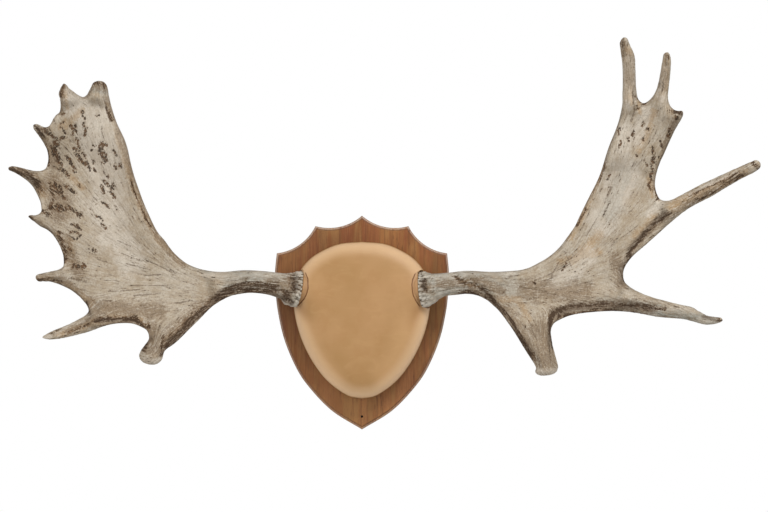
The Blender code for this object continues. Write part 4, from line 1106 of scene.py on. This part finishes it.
def pearl_relief(points, antler):
    """The burr's beads: round bumps at random places in the first stretch of the beam.

    Four rows with a value for each point: how much of it belongs to the burr, its share of a bead's
    height, how far it is raised, and how much of it lies in a dark hole between two beads of the rim.
    """
    random = np.random.default_rng(PEARL_SEED + antler["side"])
    axis, across, upright = pedicle_frame(antler)
    rel = points - burr_centre(antler)
    along = rel @ axis
    beside = (along > BURR_STRETCH[0]) & (along < BURR_STRETCH[1])
    near = np.where(beside & (np.linalg.norm(rel, axis=1) < 2 * BURR_RADIUS))[0]
    turn = np.arctan2(rel[near] @ upright, rel[near] @ across)
    along = along[near]
    spacing = 2 * math.pi / RIM_PEARLS

    def away(angle, distance, drawn_out=1.0):
        """The square of each point's way over the burr to a place on it, shortened along the beam."""
        around = np.abs((turn - angle + math.pi) % (2 * math.pi) - math.pi) * BURR_RADIUS
        return around ** 2 + ((along - distance) / drawn_out) ** 2

    top, raised, hollow = np.zeros((3, len(near)))
    for bead in range(PEARLS):
        angle = random.uniform(-math.pi, math.pi)
        distance = PEARLS_FROM + PEARLS_STRETCH * random.uniform() ** PEARLS_CROWDED
        size = random.uniform(*PEARL_SIZES) * (PEARL_SHRINKING[0] - distance * PEARL_SHRINKING[1])
        if bead < RIM_PEARLS:
            angle = (bead + random.uniform(-RIM_PEARL_SHIFT, RIM_PEARL_SHIFT)) * spacing
            distance, size = random.uniform(*RIM_PEARL_PLACES), random.uniform(*RIM_PEARL_SIZES)
        share = np.sqrt(np.clip(1 - away(angle, distance, PEARL_DRAWN_OUT) / size ** 2, 0, 1))
        top = np.maximum(top, share)
        raised = np.maximum(raised, share * size * PEARL_RISE)
    for hole in range(RIM_PEARLS):
        angle = (hole + 0.5 + random.uniform(-HOLE_SHIFT, HOLE_SHIFT)) * spacing
        distance = np.sqrt(away(angle, random.uniform(*HOLE_PLACES)))
        share = 1 - ramp(distance, 0, random.uniform(*HOLE_SIZES))
        hollow = np.maximum(hollow, share * random.uniform(*HOLE_STRENGTHS))
    values = np.zeros((4, len(points)))
    belongs = np.exp(-(np.maximum(along - BURR_FULL, 0) / BURR_FADE) ** 2)
    values[:, near] = belongs, top, raised, hollow
    return values


def two_sheets(antler, run):
    """The front's and the back's sheets, joined along the outline: points, the side of each, and faces."""
    rim = len(run)
    front, front_faces = antler_sheet(antler, run, FRONT_SPACING)
    back, back_faces = antler_sheet(antler, run, BACK_SPACING)
    front_faces = front_faces[~np.all(front_faces < rim, axis=1)]
    back_faces = back_faces[~np.all(back_faces < rim, axis=1)]
    back_faces = np.where(back_faces < rim, back_faces, back_faces + len(front) - rim)[:, ::-1]
    flat = np.vstack([front, back[rim:]])
    side = np.where(np.arange(len(flat)) < len(front), 1.0, -1.0)
    return flat, side, np.vstack([front_faces, back_faces])


def closed_at_burr(mesh, antler):
    """Cuts the antler off at the burr's face and closes the cut."""
    axis = pedicle_axis(antler)
    solid = bmesh.new()
    solid.from_mesh(mesh)
    cut = bmesh.ops.bisect_plane(
        solid, geom=solid.verts[:] + solid.edges[:] + solid.faces[:], dist=1e-6,
        plane_co=burr_centre(antler) + axis * CONTACT_GAP, plane_no=axis, clear_inner=True)
    loop = [item for item in cut["geom_cut"] if isinstance(item, bmesh.types.BMEdge)]
    bmesh.ops.edgeloop_fill(solid, edges=loop)
    bmesh.ops.delete(solid, geom=[vert for vert in solid.verts if not vert.link_faces], context="VERTS")
    solid.to_mesh(mesh)
    solid.free()


def antler_piece(node, antler, material):
    """The antler's fine surface: its sheet swelled to thickness, with grooves, beads and pits in relief."""
    run = antler_edge(antler)
    flat, side, faces = two_sheets(antler, run)
    room = distance_to_run(flat, run)
    room[:len(run)] = 0.0
    width = local_half_width(flat, room, run)
    near_rib = [distance_to_run(flat, spline(front_view(antler, route), 6)) for route in antler["ribs"]]
    rib = np.exp(-(np.min(near_rib, axis=0) / RIB_WIDTH) ** 2)
    depth_at, share_at = mid_depth(antler), growth_share(antler)
    steep = np.sqrt(1 + np.minimum(sum(way ** 2 for way in slope(depth_at, flat)), STEEPEST_SQUARED))
    swell = half_thickness(room, width, rib) * steep
    across = share_at(flat)
    per_share = 1 / np.maximum(np.hypot(*slope(share_at, flat)), LEAST_GROWTH_SLOPE)
    along = np.hypot(*(flat - np.array(antler["burr"])).T)
    slim = 1 - ramp(width, SLIM_UNTIL, SLIM_NO_MORE)
    points = np.stack([flat[:, 0], -(depth_at(flat) + side * swell), flat[:, 1]], 1)
    mesh = new_mesh(node + "_surface", points, faces)
    normals = np.empty(len(points) * 3, np.float32)
    mesh.vertex_normals.foreach_get("vector", normals)
    normals = normals.reshape(-1, 3).astype(float)

    wave = np.stack([along / GROOVE_LENGTH, across * per_share / GROOVE_WIDTH, points[:, 1] / GROOVE_TURN], 1)
    grooves = np.abs(2 * lattice_noise(wave, 3) - 1) - 0.5
    ripples = lattice_noise(wave * (1.7, 2.1, 2.0), 11) - 0.5
    lumps = lattice_noise(points / LUMP_SIZE, 7) - 0.5
    knots = lattice_noise(points / KNOT_SIZE, 17) - 0.5
    waves = lattice_noise(points / WAVE_SIZE, 9) - 0.5
    layers = {name: brushed(antler, flat, strokes, MARK_SOFTNESS)
              for name, strokes in antler["marks"].items()}
    layers["pits"] *= side > 0
    layers["scratches"] *= side > 0
    relief = slim * (grooves * SLIM_GROOVES + ripples * SLIM_RIPPLES)
    relief += (1 - slim) * (grooves * PALM_GROOVES + waves * PALM_WAVES)
    relief += lumps * LUMP_HEIGHT + knots * (KNOT_HEIGHT + DIRT_KNOTS * layers["dirt"])
    relief -= layers["pits"] * PIT_DEPTH + layers["dirt"] * DIRT_DEPTH
    relief += brushed(antler, flat, antler["relief"], RELIEF_SOFTNESS) * (side > 0)
    relief *= 0.25 + 0.75 * ramp(room, 0, SETTLED_FROM)
    layers["burr"], layers["bead"], raised, layers["hollow"] = pearl_relief(points, antler)
    points = points + normals * (relief + raised - layers["hollow"] * HOLE_DEPTH)[:, None]
    mesh.vertices.foreach_set("co", points.ravel())

    # edge is painted shade along the outline, weaker on slim tines
    layers.update(along=along, across=across, slim=slim,
                  fan=np.clip(np.log2(per_share / FAN_FROM), 0, FAN_OCTAVES),
                  edge=(1 - ramp(room, 0, EDGE_SHADE_BAND)) * (1 - slim * 0.5))
    for name, values in layers.items():
        store(mesh, name, values)
    closed_at_burr(mesh, antler)
    finished(mesh, material, node)


def arc(start, end, sag, count):
    """Points on a circular arc from start to end that dips by sag to the right of the way."""
    start, end = np.asarray(start), np.asarray(end)
    chord = end - start
    half = np.hypot(*chord) / 2
    radius = (half ** 2 + sag ** 2) / (2 * sag)
    sideways = np.array([chord[1], -chord[0]]) / (2 * half)
    centre = (start + end) / 2 - sideways * (radius - sag)
    first = math.atan2(*(start - centre)[::-1])
    angles = first + np.linspace(0, 2 * math.asin(half / radius), count, endpoint=False)
    return centre + radius * np.stack([np.cos(angles), np.sin(angles)], 1)


def mirrored(half):
    """A closed outline from its right half, which runs from top to bottom on the middle line."""
    return np.vstack([half, half[-2:0:-1] * (-1, 1)])


def normals_of(run):
    """Unit normals to the right of an open run's way."""
    step = np.gradient(run, axis=0)
    return np.stack([step[:, 1], -step[:, 0]], 1) / np.hypot(step[:, 0], step[:, 1])[:, None]


def inset(pieces, amount):
    """A clockwise outline of curved pieces moved inwards: each corner along its mitre, and each piece
    along its normals, cut off where it would pass a neighbour and spaced out evenly again."""
    loop = np.vstack([piece[:-1] for piece in pieces] + [pieces[0][:1]])
    rings = []
    for before, piece, after in zip([pieces[-1]] + pieces[:-1], pieces, pieces[1:] + [pieces[0]]):
        ends = []
        for first, second in ((normals_of(before)[-1], normals_of(piece)[0]),
                              (normals_of(piece)[-1], normals_of(after)[0])):
            mitre = first + second
            ends.append(mitre * (2 * amount / (mitre ** 2).sum()))
        moved = piece + normals_of(piece) * amount
        own = moved[distance_to_run(moved, loop) >= 0.995 * amount]
        line = np.vstack([piece[:1] + ends[0], own[1:-1], piece[-1:] + ends[1]])
        rings.append(spaced(line, len(piece))[:-1])
    return np.vstack(rings)


def grid_faces(rows, columns):
    """Quads between neighbouring rows of a grid whose rows close on themselves."""
    row, column = np.meshgrid(np.arange(rows - 1), np.arange(columns), indexing="ij")
    here, beside = row * columns + column, row * columns + (column + 1) % columns
    return np.stack([here, beside, beside + columns, here + columns], -1).reshape(-1, 4).tolist()


def fan_faces(first, size, tip):
    """Triangles between a closed row of points and one point beyond it."""
    ends = np.arange(size)
    return np.stack([first + ends, first + (ends + 1) % size, np.full(size, tip)], 1).tolist()


def outward(mesh):
    """Turns a closed mesh's faces to point out."""
    solid = bmesh.new()
    solid.from_mesh(mesh)
    bmesh.ops.recalc_face_normals(solid, faces=solid.faces[:])
    solid.to_mesh(mesh)
    solid.free()


def drum(radius, start, end, sides):
    """A cylinder from one point to another, to cut with."""
    made = bpy.data.meshes.new("drum")
    shape = bmesh.new()
    along = Vector(end) - Vector(start)
    middle = Matrix.Translation((Vector(start) + Vector(end)) / 2)
    place = middle @ along.to_track_quat("Z", "Y").to_matrix().to_4x4()
    bmesh.ops.create_cone(shape, cap_ends=True, segments=sides, radius1=radius, radius2=radius,
                          depth=along.length, matrix=place)
    shape.to_mesh(made)
    shape.free()
    return made


def cut_by(name, solid, drums):
    """A new mesh: the solid with cylinders taken out of it."""
    block = placed("block", solid)
    tools = [placed("drum", mesh) for mesh in drums]
    for tool in tools:
        cut = block.modifiers.new("cut", "BOOLEAN")
        cut.operation, cut.solver, cut.object = "DIFFERENCE", "EXACT", tool
    bpy.context.view_layer.update()
    made = bpy.data.meshes.new_from_object(block.evaluated_get(bpy.context.evaluated_depsgraph_get()))
    made.name = name
    for item in [block] + tools:
        bpy.data.objects.remove(item)
    return made


def screw_hole():
    """The middle of the screw hole's mouth, and the way in which it runs: back and up."""
    rise = math.radians(SCREW_HOLE_RISE_DEG)
    return np.array((0.0, -BOARD_THICKNESS, SCREW_HOLE_Z)), np.array((0.0, math.cos(rise), math.sin(rise)))


def board_piece(material):
    """The shield: its outline carried up a moulded profile, from the flat back to the flat front."""
    right = [np.vstack([arc((0.0, BOARD_TOP), SHOULDER, SCALLOP_SAG, ARC_POINTS), [SHOULDER]]),
             np.vstack([arc(SHOULDER, CORNER, SCALLOP_SAG, ARC_POINTS), [CORNER]]),
             spline([CORNER] + SIDE_CURVE + [(0.0, -BOARD_TIP)], 16)]
    pieces = right + [piece[::-1] * (-1, 1) for piece in right[::-1]]
    side = BOARD_THICKNESS - STEP_HEIGHT - EDGE_ROUND
    turns = np.linspace(0, math.pi / 2, 9)
    profile = [(BACK_BEVEL, 0.0), (0.0, BACK_BEVEL), (0.0, side * 0.5)]
    profile += [(EDGE_ROUND * (1 - math.cos(t)), side + EDGE_ROUND * math.sin(t)) for t in turns]
    profile += [(EDGE_ROUND + STEP_WIDTH * share, BOARD_THICKNESS + height) for share, height in STEP_PROFILE]
    rings = [np.insert(inset(pieces, inward), 1, -depth, axis=1) for inward, depth in profile]
    size = len(rings[0])
    faces = grid_faces(len(rings), size)
    faces.append(list(range(size)))
    faces.append(list(range(len(rings) * size - 1, (len(rings) - 1) * size - 1, -1)))
    solid = new_mesh("board_block", np.vstack(rings), faces)
    outward(solid)
    mouth, way = screw_hole()
    through = way * BOARD_THICKNESS
    mesh = cut_by("shield_board_surface", solid,
                  [drum(SCREW_HOLE_RADIUS, mouth - through, mouth + 2 * through, 24)])
    places = places_of(mesh)
    front, height = places[:, [0, 2]], places[:, 2]
    loop = np.vstack([piece[:-1] for piece in pieces] + [pieces[0][:1]])
    inward = distance_to_run(front, loop)
    near_face = ramp(-places[:, 1], side, side + EDGE_ROUND)
    # lit: the painted highlight on the moulded edge, fainter lower down
    lit = 0.55 + 0.45 * ramp(height, EDGE_HIGHLIGHT_FROM_Z, EDGE_HIGHLIGHT_ABOVE_Z)
    step = EDGE_ROUND + STEP_WIDTH * 0.7
    store(mesh, "low", ramp(-height, -PALER_BELOW_Z, -PALEST_BELOW_Z))
    # Painted shadow beside the leather form and the stumps
    store(mesh, "painted_shadow", brushed(SIDES["right"], front, WOOD_PAINTED_SHADOW, PATCH_SOFTNESS))
    # edge: painted highlight on the moulding's round-over
    store(mesh, "edge", np.exp(-((inward - EDGE_ROUND * 0.4) / (EDGE_ROUND * 0.42)) ** 2) * near_face * lit)
    # groove: painted shade in the moulding's step
    store(mesh, "groove", np.exp(-((inward - step) / (STEP_WIDTH * 0.8)) ** 2) * near_face)
    finished(mesh, material, "shield_board")
    mesh.set_sharp_from_angle(angle=math.radians(BOARD_SHARP_DEG))


def drawn_up(places):
    """How much further out the leather stands where it is drawn up round each pedicle."""
    total = np.zeros(len(places))
    for antler in SIDES.values():
        seat = (burr_centre(antler) - pedicle_axis(antler) * COLLAR_LENGTH)[[0, 2]]
        total += MOUND_HEIGHT * np.exp(-(np.hypot(*(places - seat).T) / MOUND_REACH) ** 2)
    return total


def folds(places):
    """The soft folds that run in and down from below each stump, as depths below the surface."""
    total = np.zeros(len(places))
    for antler in SIDES.values():
        start = np.array(antler["burr"]) - (0.0, FOLD_BELOW)
        fall = start + np.array(FOLD_ROUTE) * (-antler["side"], 1)
        away = distance_to_run(places, even(spline(fall, 6), 0.004))
        fading = 1 - ramp(start[1] - places[:, 1], 0, FOLD_FADE)
        total -= FOLD_DEPTH * np.exp(-(away / FOLD_WIDTH) ** 2) * fading
    return total


def dome_piece(material):
    """The leather form: its egg outline drawn in by a squarish rounding, with a mound round each stump,
    a soft fold below each, and the bores that the collars and burrs stand in."""
    outline = even(np.vstack([mirrored(spline(DOME_OUTLINE, 12)), [DOME_OUTLINE[0]]]), DOME_STEP)[:-1]
    middle = np.array([0.0, (outline[:, 1].max() + outline[:, 1].min()) / 2])
    foot = BOARD_THICKNESS + CONTACT_GAP
    turn = np.linspace(0, math.pi / 2, DOME_RINGS)[:-1, None]
    share, rise = np.cos(turn) ** (2 / DOME_SQUARENESS), np.sin(turn) ** (2 / DOME_SQUARENESS)
    plan = (middle + (outline - middle) * share[..., None]).reshape(-1, 2)
    depth = foot + (DOME_HEIGHT + drawn_up(plan) + folds(plan)) * np.repeat(rise, len(outline))
    lumps = lattice_noise(np.stack([plan[:, 0], depth, plan[:, 1]], 1) / LUMP_REACH, 21) - 0.5
    depth += lumps * LUMP_DEPTH
    crown = [0.0, -(foot + DOME_HEIGHT), middle[1]]
    points = np.vstack([np.stack([plan[:, 0], -depth, plan[:, 1]], 1), crown])
    rows, size = len(turn), len(outline)
    faces = grid_faces(rows, size) + fan_faces((rows - 1) * size, size, len(points) - 1)
    faces.append(list(range(size)))
    solid = new_mesh("dome_block", points, faces)
    outward(solid)
    drums = []
    for antler in SIDES.values():
        axis, face = pedicle_axis(antler), burr_centre(antler)
        seat, beyond = face - axis * COLLAR_LENGTH, face + axis * BURR_POCKET_RADIUS * 2
        drums.append(drum(COLLAR_RADIUS + CONTACT_GAP, seat, beyond, COLLAR_SIDES))
        drums.append(drum(BURR_POCKET_RADIUS, face - axis * CONTACT_GAP, beyond, COLLAR_SIDES))
    mesh = cut_by("leather_dome_surface", solid, drums)
    places = places_of(mesh)
    front = places[:, [0, 2]]
    room = distance_to_run(front, np.vstack([outline, outline[:1]]))
    # The pale rim band, partly taut leather and partly painted highlight; less of it near the top, which the
    # lights already make pale
    tight_and_lit = ramp(room, 0, RIM_GLUED) * (1 - ramp(room, RIM_TIGHT_AND_LIT_FROM, RIM_TIGHT_AND_LIT_UNTIL))
    store(mesh, "tight_and_lit", tight_and_lit * (1 - 0.14 * ramp(places[:, 2], 0.03, 0.12)))
    # Darker at the foot, where the form meets the board
    store(mesh, "darker_at_foot", (1 - ramp(-places[:, 1], foot, foot + FOOT_DARKENED)) * 0.6)
    # Painted shade in the soft folds below each stump
    store(mesh, "drawn", np.clip(-folds(front) / FOLD_DEPTH, 0, 1))
    # Painted light on the lower flanks
    store(mesh, "painted_light", brushed(SIDES["right"], front, LEATHER_PAINTED_LIGHT, PATCH_SOFTNESS))
    finished(mesh, material, "leather_dome")
    mesh.set_sharp_from_angle(angle=math.radians(DOME_SHARP_DEG))


def collar_piece(node, antler, material):
    """A leather ring: a rounded profile turned about the pedicle's axis, from the seat to the burr."""
    axis, across, upright = pedicle_frame(antler)
    length = COLLAR_LENGTH - CONTACT_GAP
    start = burr_centre(antler) - axis * length
    turns = np.linspace(0, math.pi / 2, 7)
    inner = COLLAR_RADIUS * 0.6
    bevel = [(COLLAR_BEVEL * (1 - math.sin(t)), COLLAR_BEVEL * (1 - math.cos(t))) for t in turns]
    near = [(COLLAR_RADIUS - in_from_side, up_from_end) for in_from_side, up_from_end in bevel]
    far = [(COLLAR_RADIUS - in_from_side, length - up_from_end) for up_from_end, in_from_side in bevel]
    profile = np.array([(inner, 0.0)] + near + far + [(inner, length)])
    angles = np.linspace(0, 2 * math.pi, COLLAR_SIDES, endpoint=False)
    ring = np.cos(angles)[:, None] * across + np.sin(angles)[:, None] * upright
    points = start + profile[:, None, :1] * ring + profile[:, None, 1:] * axis
    rows, size = points.shape[:2]
    points = np.vstack([points.reshape(-1, 3), start, start + axis * length])
    faces = grid_faces(rows, size)
    faces += [face[::-1] for face in fan_faces(0, size, rows * size)]
    faces += fan_faces((rows - 1) * size, size, rows * size + 1)
    mesh = new_mesh(node + "_surface", points, faces)
    outward(mesh)
    # Darker at the seat end, where the collar meets the form
    store(mesh, "darker_at_foot", np.append(np.repeat(np.exp(-(profile[:, 1] / 0.002) ** 2), size), (0.0, 0.0)))
    for name in ("tight_and_lit", "drawn", "painted_light"):
        store(mesh, name, np.zeros(len(points)))
    finished(mesh, material, node)


def camera():
    """A long lens straight in front of the piece."""
    made = bpy.data.cameras.new("camera")
    made.sensor_width = SENSOR_WIDTH
    made.lens = SENSOR_WIDTH * VIEW_DISTANCE / VIEW_WIDTH
    made.clip_end = 100.0
    holder = placed("camera", made)
    holder.location = (VIEW_CENTRE[0], -VIEW_DISTANCE, VIEW_CENTRE[1])
    holder.rotation_euler = (math.pi / 2, 0.0, 0.0)
    bpy.context.scene.camera = holder


def studio():
    """A pale floor well below the piece, a near-white surround and large soft lights turned to the piece."""
    corners = [(x * FLOOR_REACH, y * FLOOR_REACH, FLOOR_Z) for x, y in ((-1, -1), (1, -1), (1, 1), (-1, 1))]
    floor = new_mesh("floor", corners, [(0, 1, 2, 3)])
    paint = Finish("pale_floor", Base_Color=(0.8, 0.8, 0.79, 1.0), Roughness=0.8)
    floor.materials.append(paint.material)
    placed("floor", floor)
    world = bpy.data.worlds.new("studio")
    world.use_nodes = True
    surround = Nodes(world.node_tree)
    way = surround.node("ShaderNodeTexCoord", {}, {}, "Generated")
    height = surround.math("ABSOLUTE", surround.node("ShaderNodeSeparateXYZ", {}, {0: way}, "Z"))
    level = surround.node("ShaderNodeMapRange", {}, {
        "Value": height, "From Min": SURROUND_HEIGHTS[0], "From Max": SURROUND_HEIGHTS[1],
        "To Min": SURROUND_LEVELS[0], "To Max": SURROUND_LEVELS[1]})
    world.node_tree.links.new(level.socket, world.node_tree.nodes["Background"].inputs["Color"])
    bpy.context.scene.world = world
    for name, (place, size, power) in LIGHTS.items():
        made = bpy.data.lights.new(name, "AREA")
        made.energy, made.size = power, size
        holder = placed(name, made)
        holder.location = place
        holder.rotation_euler = (-Vector(place)).to_track_quat("-Z", "Y").to_euler()
    bpy.context.scene.view_settings.view_transform = "Standard"


camera()
horn = antler_finish()
leather = leather_finish()
board_piece(wood_finish())
dome_piece(leather)
for label, antler in SIDES.items():
    collar_piece(label + "_collar", antler, leather)
    antler_piece(label + "_antler", antler, horn)
studio()
